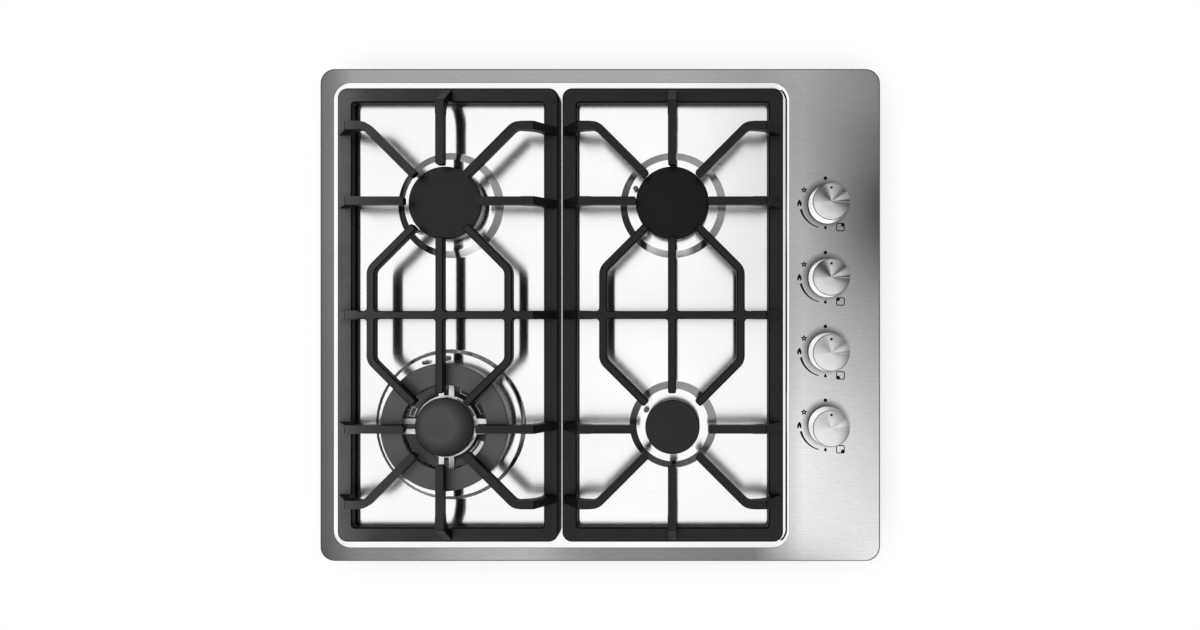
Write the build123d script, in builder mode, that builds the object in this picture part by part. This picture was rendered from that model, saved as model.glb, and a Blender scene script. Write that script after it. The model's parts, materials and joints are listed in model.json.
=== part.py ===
# Gas cooktop, four burners, in pressed stainless steel with two cast iron grates.
# Millimetres. X to the right, Y to the rear, Z up. Z = 0 is the underside of the bottom tray,
# and X = Y = 0 is the middle of the top panel.
import os
from dataclasses import dataclass
from math import atan2, cos, degrees, hypot, pi, radians, sin, sqrt

from build123d import *

os.makedirs("parts", exist_ok=True)

# ---------------------------------------------------------------- driving dimensions
# Top panel and the well pressed into it
panel_width = 580.0
panel_depth = 510.0
panel_corner_radius = 15.0
sheet = 1.0  # thickness of the panel and of the tray
lip_height = 4.0  # turned-down edge, from the panel's face
lip_bend = 1.6  # outside radius of that bend
border_left = 14.0
border_rear = 14.5
border_front = 14.0
control_zone_width = 94.0
well_drop = 7.0
well_lean = 2.5  # how far the well's wall leans in on its way down
well_corner_radius = 18.0
well_floor_fillet = 2.0

# Bottom tray, seal and what holds them
tray_height = 44.0
tray_width = 556.0
tray_depth = 486.0
tray_corner_radius = 12.0
seal_width = 7.0
seal_thickness = 4.0
seal_gap = 0.5  # between the seal and the turned-down edge
post_across_flats = 8.0
post_inset_x = 28.0  # from the tray's side wall
post_inset_y = 21.0  # from the tray's front or rear wall
dimple_height = 3.0  # raised pad for a screw head
dimple_radius = 8.0
screw_radius = 2.0
screw_head_radius = 3.5
screw_head_height = 2.0
screw_cross_length = 4.9
screw_cross_width = 0.8
screw_slack = 0.05
screw_grip = 12.0  # thread length inside a post

# Worktop clamps
worktop_thickness = 30.0
clamp_width = 16.0
clamp_sheet = 2.0
clamp_reach = 11.0  # past the tray's wall
clamp_lip = 2.0
clamp_lip_drop = 5.0  # turned-down end, from the clamp's top
clamp_pivot_inset = 13.0  # from the tray's wall to the screw
clamp_clearance = 0.3
clamp_spacing = 260.0
clamp_screw_length = 16.0

# Grates
grate_side_clearance = 6.5  # from the pair to the well's sides, at the rim
grate_end_clearance = 7.0  # from the grates to the well's front and rear, at the rim
grate_gap = 4.0
grate_shift = -0.5  # of the pair, from the middle of the well
grate_corner_radius = 10.0
grate_inner_radius = 3.0
grate_bar = 15.0
grate_bar_height = 9.0
grate_edge_chamfer = 1.2
foot_height = 3.0
foot_radius = 5.0
foot_inset = 22.0  # from the frame's end to the feet near it
finger_width = 8.0
finger_depth = 10.0
finger_chamfer = 1.0
finger_top_height = 42.0  # above the well's floor
finger_crossing_fillet = 3.0
finger_bend_radius = 12.0
finger_tip_fillet = 2.0
finger_circle_radius = 36.0  # round each burner's middle, up to the finger tips
outer_finger_run = 11.75  # straight start of the outer fingers, from their legs to the bend
inner_corner_offset = 68.5  # from a burner's middle to the bend in the inner fingers
leg_width = 8.6
leg_lean = 19.0  # top end inside the frame's outer edge
leg_arch_radius = 18.0

# Burners
burner_pitch_y = 228.0
boss_height = 4.5
boss_fillet = 2.0
boss_land = 4.0  # flat ring of floor pressed with each boss
cup_flange_thickness = 2.0
cup_flange_margin = 3.0  # from the flange's rim to the boss's shoulder
cup_wall = 2.5
cup_floor_height = 14.0
cup_floor_thickness = 2.0
collar_rise = 2.0  # cup collar above the boss
collar_clearance = 0.5
head_base_thickness = 2.0
head_wall = 2.8
head_setback = 2.5  # flame ring inside the cap's edge
port_width = 1.6
port_pitch = 5.2
port_height = 5.0
bridge_gap = 5.0  # between the two bridges of a pair
bridge_width = 5.3
pot_rim = 1.8  # flat rim of the middle pot, outside its cap
pot_rim_thickness = 2.5
cap_skirt = 2.5
cap_skirt_clearance = 0.6
cap_fillet = 1.4
venturi_radius = 9.0
venturi_wall = 1.8
injector_radius = 3.5
injector_height = 8.0
injector_hex_radius = 5.0
injector_clearance = 0.05
injector_block_radius = 9.0
injector_block_height = 9.0
electrode_offset = 4.0  # from the cap's edge to the middle of an electrode
ceramic_radius = 2.5
ceramic_rise = 10.5  # above the boss
electrode_tip_radius = 0.9
electrode_tip_length = 3.5
thermocouple_radius = 2.0
thermocouple_rise = 11.0
probe_clearance = 0.05
probe_hole_clearance = 0.4  # in the panel
probe_tail = 14.0  # below the cup's flange
probe_collar = 1.5

# Gas supply
tube_radius = 3.0
tube_height = 10.0
tube_bend_radius = 20.0
tube_socket_depth = 8.0
tube_clearance = 0.05
rail_radius = 8.0
rail_wall = 2.0
rail_height = 14.6
rail_offset = 24.0  # from the knobs' line to the rail
rail_front_overhang = 32.0
bracket_offset = 22.0  # from the end valve to the bracket beyond it
bracket_length = 12.0
bracket_wall = 3.0
rail_clearance = 0.05
inlet_thread_radius = 10.478
inlet_thread_length = 15.0
inlet_hex = 27.0
inlet_hex_height = 10.0
inlet_bore_radius = 6.0
locknut_hex = 24.0
locknut_height = 6.0
recess_width = 67.0
recess_depth = 37.0
recess_height = 34.0
recess_from_side = 2.0
gland_radius = 7.0
gland_hex_radius = 8.0
gland_bore_radius = 3.2
gland_length = 12.0
gland_from_recess_side = 15.0

# Valves and knobs
knob_pitch = 76.0
knob_line_x = 235.0
knob_radius = 19.8
knob_top_radius = 18.6
knob_height = 25.0
knob_chamfer = 1.0
knob_gap = 3.6  # between the knob and the panel
knob_wall = 2.5
knob_hub_radius = 7.0
knob_mark_radius = 1.3
knob_mark_from_rim = 4.8
knob_mark_depth = 0.4
push_travel = 3.0
stem_radius = 4.0
stem_flat = 1.0
stem_clearance = 0.05
stem_hole_radius = 6.0
stem_grip = 17.0  # stem inside the knob
stem_collar_radius = 10.0
stem_collar_thickness = 2.0
plug_radius = 7.0
plug_clearance = 0.05
plug_flange_radius = 9.0
plug_flange_thickness = 1.5
plug_length = 12.0
valve_length_y = 22.0
valve_left = 12.0  # from the knob's axis to the valve's outlet face
valve_bottom = 5.0
valve_top = 28.0
valve_rail_wall = 4.0
valve_spout = 10.0
valve_spout_radius = 6.0
spring_wire_radius = 0.5
spring_radius = 6.2
spring_turns = 4
spring_space = 9.0  # from the plug's flange to the stem's collar
spring_seat_gap = 0.1
switch_width = 10.0
switch_clearance = 0.3
switch_nose_overlap = 3.0  # under the stem's collar
switch_step = 1.0  # from the valve's body to the switch's base
switch_strip_thickness = 0.8
switch_strip_width = 6.0

# Spark module
module_width = 70.0
module_depth = 38.0
module_height = 18.0
module_terminals = 4
module_terminal_pitch = 14.0
module_terminal_radius = 2.5
module_terminal_height = 5.0
module_corner_radius = 4.0

# ---------------------------------------------------------------- levels and places
border_under = tray_height
border_top = tray_height + sheet
floor_top = border_top - well_drop
floor_under = floor_top - sheet
boss_top = floor_top + boss_height
boss_under = boss_top - sheet

well_left = -panel_width / 2 + border_left
well_right = panel_width / 2 - control_zone_width
well_front = -panel_depth / 2 + border_front
well_rear = panel_depth / 2 - border_rear
well_width = well_right - well_left
well_depth = well_rear - well_front
well_x = (well_left + well_right) / 2
well_y = (well_front + well_rear) / 2

grate_width = (well_width - grate_gap) / 2 - grate_side_clearance
grate_depth = well_depth - 2 * grate_end_clearance
outer_corner_offset = grate_width / 2 - leg_lean - finger_width - outer_finger_run
grate_offset = (grate_width + grate_gap) / 2
grate_x = {"left": well_x + grate_shift - grate_offset, "right": well_x + grate_shift + grate_offset}
burner_y = burner_pitch_y / 2
bar_bottom = floor_top + foot_height
bar_top = bar_bottom + grate_bar_height
finger_top = floor_top + finger_top_height
finger_bottom = finger_top - finger_depth


@dataclass
class Burner:
    """Sizes of one burner, measured from the boss's top and its middle."""

    x: float
    y: float
    boss_outer: float
    boss_inner: float
    hole: float
    cup_radius: float
    cap_radius: float
    cap_thickness: float
    ring_height: float  # flame ring, above the collar
    electrode_angle: float
    thermocouple_angle: float
    inlet_angle: float  # side on which the gas tube arrives
    ring_inner: float = 0.0  # inside radius of a ring burner's cap
    middle_cap_radius: float = 0.0
    middle_rise: float = 2.0  # middle pot above the ring's top
    dome: float = 0.6  # fall of the cap's top from its middle to its edge

    @property
    def seat(self):
        return boss_top + collar_rise

    @property
    def head_radius(self):
        return self.cap_radius - head_setback

    @property
    def ring_top(self):
        return self.seat + self.ring_height

    @property
    def flange_radius(self):
        return self.boss_inner - cup_flange_margin

    @property
    def probe_radius(self):
        return self.cap_radius + electrode_offset


burners = {
    "rear_left": Burner(
        grate_x["left"], burner_y, 55.0, 47.3, 30.0, 24.0, 37.25, 5.0, 11.5, 135.0, 223.0, 270.0
    ),
    "rear_right": Burner(
        grate_x["right"], burner_y, 55.0, 47.3, 30.0, 24.0, 37.25, 5.0, 11.5, 157.0, 225.0, 0.0
    ),
    "front_left": Burner(
        grate_x["left"], -burner_y, 78.0, 74.5, 44.0, 30.0, 65.0, 6.0, 13.0, 93.0, 110.0, 90.0,
        ring_inner=43.0, middle_cap_radius=30.0, dome=2.6,
    ),
    "front_right": Burner(
        grate_x["right"], -burner_y, 45.5, 37.6, 22.0, 18.0, 27.75, 5.0, 11.5, 149.0, 219.0, 0.0
    ),
}

# Knob order, from the rear: rear right, rear left, front left, front right
knob_order = ["rear_right", "rear_left", "front_left", "front_right"]
knob_y = [(1.5 - index) * knob_pitch for index in range(len(knob_order))]
rail_x = knob_line_x + rail_offset

recess_right = tray_width / 2 - recess_from_side
recess_left = recess_right - recess_width
recess_front = tray_depth / 2 - recess_depth
recess_x = (recess_left + recess_right) / 2

clamp_top = border_under - seal_thickness - worktop_thickness
clamp_plate_bottom = clamp_top - clamp_sheet
clamp_pocket_height = clamp_top + clamp_clearance
clamp_pivot_y = tray_depth / 2 - clamp_pivot_inset
clamps = [
    ("front_left", -clamp_spacing / 2, -1),
    ("front_right", clamp_spacing / 2, -1),
    ("rear_left", -clamp_spacing / 2, 1),
    ("rear_right", clamp_spacing / 2, 1),
]

post_y = tray_depth / 2 - post_inset_y
post_left = -tray_width / 2 + post_inset_x
post_right = well_right - well_lean - post_across_flats
post_places = [(x, side * post_y) for x in (post_left, well_x, post_right) for side in (-1, 1)]


def save(part, name):
    part.label = name
    export_step(part, f"parts/{name}.step")


def polar(burner, angle, radius):
    """A point round a burner's middle, at an angle counted from +X."""
    return (burner.x + radius * cos(radians(angle)), burner.y + radius * sin(radians(angle)))


def upright(x, y):
    """A vertical plane through (x, y): its x axis points outwards, its y axis up."""
    return Plane(origin=(x, y, 0), x_dir=(1, 0, 0), z_dir=(0, -1, 0))


# ---------------------------------------------------------------- top panel
def make_top_panel():
    lean = degrees(atan2(well_lean, well_drop))
    with BuildPart() as panel:
        with BuildSketch(Plane.XY.offset(border_under)):
            RectangleRounded(panel_width, panel_depth, panel_corner_radius)
        extrude(amount=sheet)
        # turned-down edge, rounded at its bend
        with BuildSketch(Plane.XY.offset(border_under)):
            RectangleRounded(panel_width, panel_depth, panel_corner_radius)
            RectangleRounded(
                panel_width - 2 * sheet, panel_depth - 2 * sheet, panel_corner_radius - sheet, mode=Mode.SUBTRACT
            )
        extrude(amount=-(lip_height - sheet))
        fillet(panel.faces().sort_by(Axis.Z)[-1].edges(), radius=lip_bend)
        # the well: a tapered tub in the border, then hollowed to the sheet's thickness
        with BuildSketch(Plane.XY.offset(border_top)):
            with Locations((well_x, well_y)):
                RectangleRounded(well_width + 2 * sheet, well_depth + 2 * sheet, well_corner_radius + sheet)
        extrude(amount=-(well_drop + sheet), taper=lean)
        fillet(panel.edges().group_by(Axis.Z)[0], radius=well_floor_fillet + sheet)
        with BuildSketch(Plane.XY.offset(border_top)):
            with Locations((well_x, well_y)):
                RectangleRounded(well_width, well_depth, well_corner_radius)
        extrude(amount=-well_drop, taper=lean, mode=Mode.SUBTRACT)
        floor_face = panel.faces().filter_by(Plane.XY).filter_by(lambda f: abs(f.center().Z - floor_top) < sheet / 10)
        fillet(floor_face[0].outer_wire().edges(), radius=well_floor_fillet)
        # raised bosses with the burner holes
        for burner in burners.values():
            with BuildSketch(Plane.XY.offset(floor_under)):
                with Locations((burner.x, burner.y)):
                    Circle(burner.boss_outer + boss_land)
            extrude(amount=sheet, mode=Mode.SUBTRACT)
            with BuildSketch(upright(burner.x, burner.y)) as pressing:
                slope = hypot(burner.boss_outer - burner.boss_inner, boss_height)
                step_in = sheet * (slope - (burner.boss_outer - burner.boss_inner)) / boss_height
                with BuildLine():
                    Polyline(
                        (burner.boss_outer + boss_land, floor_under),
                        (burner.boss_outer + boss_land, floor_top),
                        (burner.boss_outer, floor_top),
                        (burner.boss_inner, boss_top),
                        (burner.hole, boss_top),
                        (burner.hole, boss_under),
                        (burner.boss_inner - step_in, boss_under),
                        (burner.boss_outer - step_in, floor_under),
                        close=True,
                    )
                make_face()
                bends = pressing.vertices().filter_by(
                    lambda v: burner.boss_inner - sheet < v.X < burner.boss_outer + sheet
                )
                fillet(bends, boss_fillet)
            revolve(axis=Axis((burner.x, burner.y, 0), (0, 0, 1)))
            with BuildSketch(Plane.XY.offset(boss_top)):
                for angle in (burner.electrode_angle, burner.thermocouple_angle):
                    with Locations(polar(burner, angle, burner.probe_radius)):
                        Circle(ceramic_radius + probe_hole_clearance)
            extrude(amount=-2 * sheet, mode=Mode.SUBTRACT)
        with BuildSketch(Plane.XY.offset(border_top)):
            with Locations(*[(knob_line_x, y) for y in knob_y]):
                Circle(stem_hole_radius)
        extrude(amount=-2 * sheet, mode=Mode.SUBTRACT)
    return panel.part


def make_edge_seal():
    outer_x = panel_width - 2 * (sheet + seal_gap)
    outer_y = panel_depth - 2 * (sheet + seal_gap)
    radius = panel_corner_radius - sheet - seal_gap
    with BuildPart() as seal:
        with BuildSketch(Plane.XY.offset(border_under - seal_thickness)):
            RectangleRounded(outer_x, outer_y, radius)
            RectangleRounded(
                outer_x - 2 * seal_width, outer_y - 2 * seal_width, radius - seal_width, mode=Mode.SUBTRACT
            )
        extrude(amount=seal_thickness)
    return seal.part


# ---------------------------------------------------------------- bottom tray
def make_bottom_tray():
    pocket_long = clamp_reach + clamp_pivot_inset + clamp_width / 2
    pocket_span = pocket_long + clamp_width / 2 + 2 * clamp_clearance
    pocket_deep = clamp_pivot_inset + clamp_width / 2 + 2 * clamp_clearance
    with BuildPart() as tray:
        with BuildSketch():
            RectangleRounded(tray_width, tray_depth, tray_corner_radius)
        extrude(amount=tray_height)
        with BuildSketch(Plane.XY.offset(sheet)):
            RectangleRounded(tray_width - 2 * sheet, tray_depth - 2 * sheet, tray_corner_radius - sheet)
        extrude(amount=tray_height - sheet, mode=Mode.SUBTRACT)
        # raised pads for the screws under the posts
        for x, y in post_places:
            with BuildSketch():
                with Locations((x, y)):
                    Circle(dimple_radius)
            extrude(amount=dimple_height + sheet)
            with BuildSketch():
                with Locations((x, y)):
                    Circle(dimple_radius - sheet)
            extrude(amount=dimple_height, mode=Mode.SUBTRACT)
            with BuildSketch():
                with Locations((x, y)):
                    Circle(screw_radius + screw_slack)
            extrude(amount=dimple_height + sheet, mode=Mode.SUBTRACT)
        # pockets for the clamps, open below and through the wall
        for _, x, side in clamps:
            middle_x = x + (pocket_span - clamp_width) / 2 - clamp_clearance
            middle_y = side * (tray_depth / 2 - pocket_deep / 2)
            with BuildSketch():
                with Locations((middle_x, middle_y - side * sheet / 2)):
                    Rectangle(pocket_span + 2 * sheet, pocket_deep + sheet)
            extrude(amount=clamp_pocket_height + sheet)
            with BuildSketch():
                with Locations((middle_x, middle_y)):
                    Rectangle(pocket_span, pocket_deep)
            extrude(amount=clamp_pocket_height, mode=Mode.SUBTRACT)
            with BuildSketch():
                with Locations((x, side * clamp_pivot_y)):
                    Circle(screw_radius + screw_slack)
            extrude(amount=clamp_pocket_height + sheet, mode=Mode.SUBTRACT)
        # recess at the rear for the gas inlet and the cable
        with BuildSketch():
            with Locations((recess_x, tray_depth / 2 - (recess_depth + sheet) / 2)):
                Rectangle(recess_width + 2 * sheet, recess_depth + sheet)
        extrude(amount=recess_height + sheet)
        with BuildSketch():
            with Locations((recess_x, tray_depth / 2 - recess_depth / 2)):
                Rectangle(recess_width, recess_depth)
        extrude(amount=recess_height, mode=Mode.SUBTRACT)
        with BuildSketch(Plane.XZ.offset(-recess_front)):
            with Locations((rail_x, rail_height)):
                Circle(rail_radius + rail_clearance)
            with Locations((recess_left + gland_from_recess_side, rail_height)):
                Circle(gland_radius - sheet)
        extrude(amount=2 * sheet, both=True, mode=Mode.SUBTRACT)
    return tray.part


def make_support_posts():
    bottom = dimple_height + sheet
    with BuildPart() as posts:
        with BuildSketch(Plane.XY.offset(bottom)):
            with Locations(*post_places):
                RegularPolygon(post_across_flats / 2, 6, major_radius=False)
        extrude(amount=floor_under - bottom)
        with BuildSketch(Plane.XY.offset(bottom)):
            with Locations(*post_places):
                Circle(screw_radius + screw_slack)
        extrude(amount=screw_grip + screw_radius, mode=Mode.SUBTRACT)
    return posts.part


def make_tray_screws():
    head_bottom = dimple_height - screw_head_height
    with BuildPart() as screws:
        with BuildSketch(Plane.XY.offset(head_bottom)):
            with Locations(*post_places):
                Circle(screw_head_radius)
        extrude(amount=screw_head_height)
        with BuildSketch(Plane.XY.offset(dimple_height)):
            with Locations(*post_places):
                Circle(screw_radius)
        extrude(amount=sheet + screw_grip)
        with BuildSketch(Plane.XY.offset(head_bottom)):
            with Locations(*post_places):
                Rectangle(screw_cross_length, screw_cross_width)
                Rectangle(screw_cross_width, screw_cross_length)
        extrude(amount=screw_head_height / 2, mode=Mode.SUBTRACT)
    return screws.part


# ---------------------------------------------------------------- clamps
def make_clamp(x, side):
    """A swivelling clamp, drawn pointing away from the tray."""
    end = clamp_pivot_inset + clamp_reach
    with BuildPart() as clamp:
        with BuildSketch(Plane.XY.offset(clamp_plate_bottom)):
            with Locations((x, side * clamp_pivot_y)):
                Circle(clamp_width / 2)
            with Locations((x, side * (clamp_pivot_y + end / 2))):
                Rectangle(clamp_width, end)
            with Locations((x, side * clamp_pivot_y)):
                Circle(screw_radius + 2 * screw_slack, mode=Mode.SUBTRACT)
        extrude(amount=clamp_sheet)
        with BuildSketch(Plane.XY.offset(clamp_top - clamp_lip_drop)):
            with Locations((x, side * (clamp_pivot_y + end - clamp_lip / 2))):
                Rectangle(clamp_width, clamp_lip)
        extrude(amount=clamp_lip_drop)
    return clamp.part


def make_clamp_screws():
    places = [(x, side * clamp_pivot_y) for _, x, side in clamps]
    head_top = clamp_plate_bottom - clamp_clearance
    with BuildPart() as screws:
        with BuildSketch(Plane.XY.offset(head_top - screw_head_height)):
            with Locations(*places):
                RegularPolygon(screw_head_radius, 6)
        extrude(amount=screw_head_height)
        with BuildSketch(Plane.XY.offset(head_top)):
            with Locations(*places):
                Circle(screw_radius)
        extrude(amount=clamp_screw_length)
        with BuildSketch(Plane.XY.offset(clamp_pocket_height + sheet)):
            with Locations(*places):
                RegularPolygon(screw_head_radius, 6)
        extrude(amount=screw_head_height)
    return screws.part


# ---------------------------------------------------------------- grates
def bar_along(path, width):
    """A bar in plan along a path, rounded at its bends, drawn in the open sketch."""
    with BuildLine() as route:
        if len(path) > 2:
            FilletPolyline(*path, radius=finger_bend_radius)
        else:
            Line(*path)
    trace(route.edges(), line_width=width)


def finger_paths(middle_x):
    """Centre lines of all fingers of one grate, each from a leg or a burner to the next one."""
    half_w = grate_width / 2
    half_d = grate_depth / 2
    reach = finger_circle_radius
    slant = reach / sqrt(2)
    inner_x = inner_corner_offset
    inner_y = burner_y - inner_corner_offset
    outer_y = burner_y + outer_corner_offset
    start = leg_lean + finger_width
    paths = []
    for end in (-1, 1):
        paths.append([(middle_x, end * (half_d - start)), (middle_x, end * (burner_y + reach))])
        for side in (-1, 1):
            edge = middle_x + side * (half_w - start)
            paths.append([(edge, end * burner_y), (middle_x + side * reach, end * burner_y)])
            paths.append(
                [
                    (edge, end * outer_y),
                    (middle_x + side * outer_corner_offset, end * outer_y),
                    (middle_x + side * slant, end * (burner_y + slant)),
                ]
            )
    for side in (-1, 1):
        paths.append(
            [
                (middle_x + side * slant, burner_y - slant),
                (middle_x + side * inner_x, inner_y),
                (middle_x + side * inner_x, -inner_y),
                (middle_x + side * slant, -(burner_y - slant)),
            ]
        )
    paths.append([(middle_x, burner_y - reach), (middle_x, -(burner_y - reach))])
    paths.append([(middle_x - half_w + start, 0), (middle_x + half_w - start, 0)])
    return paths


def add_leg(x, y, inwards):
    """A leg from the frame up to a finger: leaning outside, arched underneath."""
    arch_end = grate_bar + leg_arch_radius
    side_plane = Plane(origin=(x, y, 0), x_dir=inwards, z_dir=Vector(*inwards).cross(Vector(0, 0, 1)))
    with BuildSketch(side_plane) as leg:
        with BuildLine():
            Polyline(
                (grate_bar, bar_top),
                (grate_bar, bar_bottom + grate_bar_height / 2),
                (finger_chamfer, bar_bottom + grate_bar_height / 2),
                (finger_chamfer, bar_top - finger_chamfer),
                (leg_lean, finger_top - finger_chamfer),
                (leg_lean + finger_chamfer, finger_top),
                (arch_end, finger_top),
                (arch_end, finger_bottom),
            )
            RadiusArc((arch_end, finger_bottom), (grate_bar, bar_top), -leg_arch_radius)
        make_face()
    extrude(leg.sketch, amount=leg_width / 2, both=True)


def make_grate(middle_x):
    half_w = grate_width / 2
    half_d = grate_depth / 2
    outer_y = burner_y + outer_corner_offset
    crossings = [(middle_x, 0), (middle_x - inner_corner_offset, 0), (middle_x + inner_corner_offset, 0)]
    with BuildPart() as grate:
        with BuildSketch(Plane.XY.offset(bar_bottom)):
            with Locations((middle_x, 0)):
                RectangleRounded(grate_width, grate_depth, grate_corner_radius)
                RectangleRounded(
                    grate_width - 2 * grate_bar,
                    grate_depth - 2 * grate_bar,
                    grate_inner_radius,
                    mode=Mode.SUBTRACT,
                )
        extrude(amount=grate_bar_height)
        chamfer(grate.faces().sort_by(Axis.Z)[-1].edges(), grate_edge_chamfer)
        with BuildSketch(Plane.XY.offset(finger_bottom)) as network:
            for path in finger_paths(middle_x):
                bar_along(path, finger_width)
            near = [
                v
                for v in network.vertices()
                if any(hypot(v.X - x, v.Y - y) < finger_width * 0.75 for x, y in crossings)
            ]
            fillet(near, finger_crossing_fillet)
            tips = [
                v
                for v in network.vertices()
                if hypot(v.X - middle_x, abs(v.Y) - burner_y) < finger_circle_radius + finger_width / 2
            ]
            fillet(tips, finger_tip_fillet)
        extrude(amount=finger_depth)
        chamfer(grate.faces().sort_by(Axis.Z)[-1].edges(), finger_chamfer)
        for side in (-1, 1):
            add_leg(middle_x, side * half_d, (0, -side, 0))
            for y in (-outer_y, -burner_y, 0, burner_y, outer_y):
                add_leg(middle_x + side * half_w, y, (-side, 0, 0))
    return grate.part


def make_grate_feet(middle_x):
    inset = grate_bar / 2
    places = [
        (middle_x + side * (grate_width / 2 - inset), y)
        for side in (-1, 1)
        for y in (-grate_depth / 2 + foot_inset, 0, grate_depth / 2 - foot_inset)
    ]
    with BuildPart() as feet:
        with BuildSketch(Plane.XY.offset(floor_top)):
            with Locations(*places):
                Circle(foot_radius)
        extrude(amount=foot_height)
    return feet.part


# ---------------------------------------------------------------- burners
def make_burner_cup(burner):
    """Aluminium cup under the boss: flange, collar through the hole, bowl and injector block."""
    flange_under = boss_under - cup_flange_thickness
    collar = burner.hole - collar_clearance
    radius = burner.cup_radius
    floor_z = cup_floor_height
    block_top = floor_z + cup_floor_thickness
    block_bottom = floor_z - injector_block_height
    with BuildPart() as cup:
        with BuildSketch(upright(burner.x, burner.y)):
            with BuildLine():
                Polyline(
                    (0, floor_z),
                    (radius, floor_z),
                    (radius, flange_under),
                    (burner.flange_radius, flange_under),
                    (burner.flange_radius, boss_under),
                    (collar, boss_under),
                    (collar, burner.seat),
                    (collar - cup_wall, burner.seat),
                    (collar - cup_wall, boss_under),
                    (radius - cup_wall, boss_under),
                    (radius - cup_wall, block_top),
                    (0, block_top),
                    close=True,
                )
            make_face()
        revolve(axis=Axis((burner.x, burner.y, 0), (0, 0, 1)))
        with BuildSketch(Plane.XY.offset(block_bottom)):
            with Locations((burner.x, burner.y)):
                Circle(injector_block_radius)
        extrude(amount=injector_block_height)
        # socket for the gas tube
        angle = burner.inlet_angle
        outwards = Plane(
            origin=(burner.x, burner.y, tube_height), z_dir=(cos(radians(angle)), sin(radians(angle)), 0)
        )
        with BuildSketch(outwards):
            Circle(2 * tube_radius)
        extrude(amount=radius)
        with BuildSketch(Plane.XY.offset(block_bottom - injector_block_radius)):
            with Locations((burner.x, burner.y)):
                Circle(2 * radius)
        extrude(amount=injector_block_radius, mode=Mode.SUBTRACT)
        with BuildSketch(outwards.offset(radius - tube_socket_depth)):
            Circle(tube_radius + tube_clearance)
        extrude(amount=tube_socket_depth, mode=Mode.SUBTRACT)
        with BuildSketch(outwards):
            Circle(tube_radius / 2)
        extrude(amount=radius, mode=Mode.SUBTRACT)
        with BuildSketch(Plane.XY.offset(tube_height)):
            with Locations((burner.x, burner.y)):
                Circle(injector_radius + injector_clearance)
        extrude(amount=block_top - tube_height, mode=Mode.SUBTRACT)
        with BuildSketch(Plane.XY.offset(boss_under)):
            with Locations(polar(burner, burner.electrode_angle, burner.probe_radius)):
                Circle(ceramic_radius + probe_clearance)
            with Locations(polar(burner, burner.thermocouple_angle, burner.probe_radius)):
                Circle(thermocouple_radius + probe_clearance)
        extrude(amount=-2 * cup_flange_thickness, mode=Mode.SUBTRACT)
    return cup.part


def make_gas_injectors():
    bottom = tube_height + tube_radius / 2
    with BuildPart() as injectors:
        for burner in burners.values():
            with BuildSketch(Plane.XY.offset(bottom)):
                with Locations((burner.x, burner.y)):
                    Circle(injector_radius)
            extrude(amount=injector_height)
            with BuildSketch(Plane.XY.offset(cup_floor_height + cup_floor_thickness)):
                with Locations((burner.x, burner.y)):
                    RegularPolygon(injector_hex_radius, 6)
            extrude(amount=injector_height / 2)
            with BuildSketch(Plane.XY.offset(bottom)):
                with Locations((burner.x, burner.y)):
                    Circle(injector_radius / 4)
            extrude(amount=2 * injector_height, mode=Mode.SUBTRACT)
    return injectors.part


def ports(radius):
    """How many flame ports fit round a ring."""
    return max(12, 4 * round(2 * pi * radius / port_pitch / 4))


def cut_ports(burner, radius, top, depth):
    """Radial slots through a flame ring, open at its top."""
    with BuildSketch(Plane.XY.offset(top - port_height)) as slots:
        with Locations((burner.x, burner.y)):
            with PolarLocations(radius - depth / 2, ports(radius)):
                Rectangle(2 * depth, port_width)
    extrude(slots.sketch, amount=port_height, mode=Mode.SUBTRACT)


def make_simple_head(burner):
    """Flame spreader with one ring of ports and a venturi down the middle."""
    seat = burner.seat
    venturi_bottom = cup_floor_height + cup_floor_thickness + injector_height
    outer = burner.head_radius
    with BuildPart() as head:
        with BuildSketch(upright(burner.x, burner.y)):
            with BuildLine():
                Polyline(
                    (venturi_radius - venturi_wall, venturi_bottom),
                    (venturi_radius, venturi_bottom),
                    (venturi_radius, seat),
                    (outer, seat),
                    (outer, burner.ring_top),
                    (outer - head_wall, burner.ring_top),
                    (outer - head_wall, seat + head_base_thickness),
                    (venturi_radius - venturi_wall, seat + head_base_thickness),
                    close=True,
                )
            make_face()
        revolve(axis=Axis((burner.x, burner.y, 0), (0, 0, 1)))
        cut_ports(burner, outer, burner.ring_top, head_wall)
    return head.part


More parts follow.
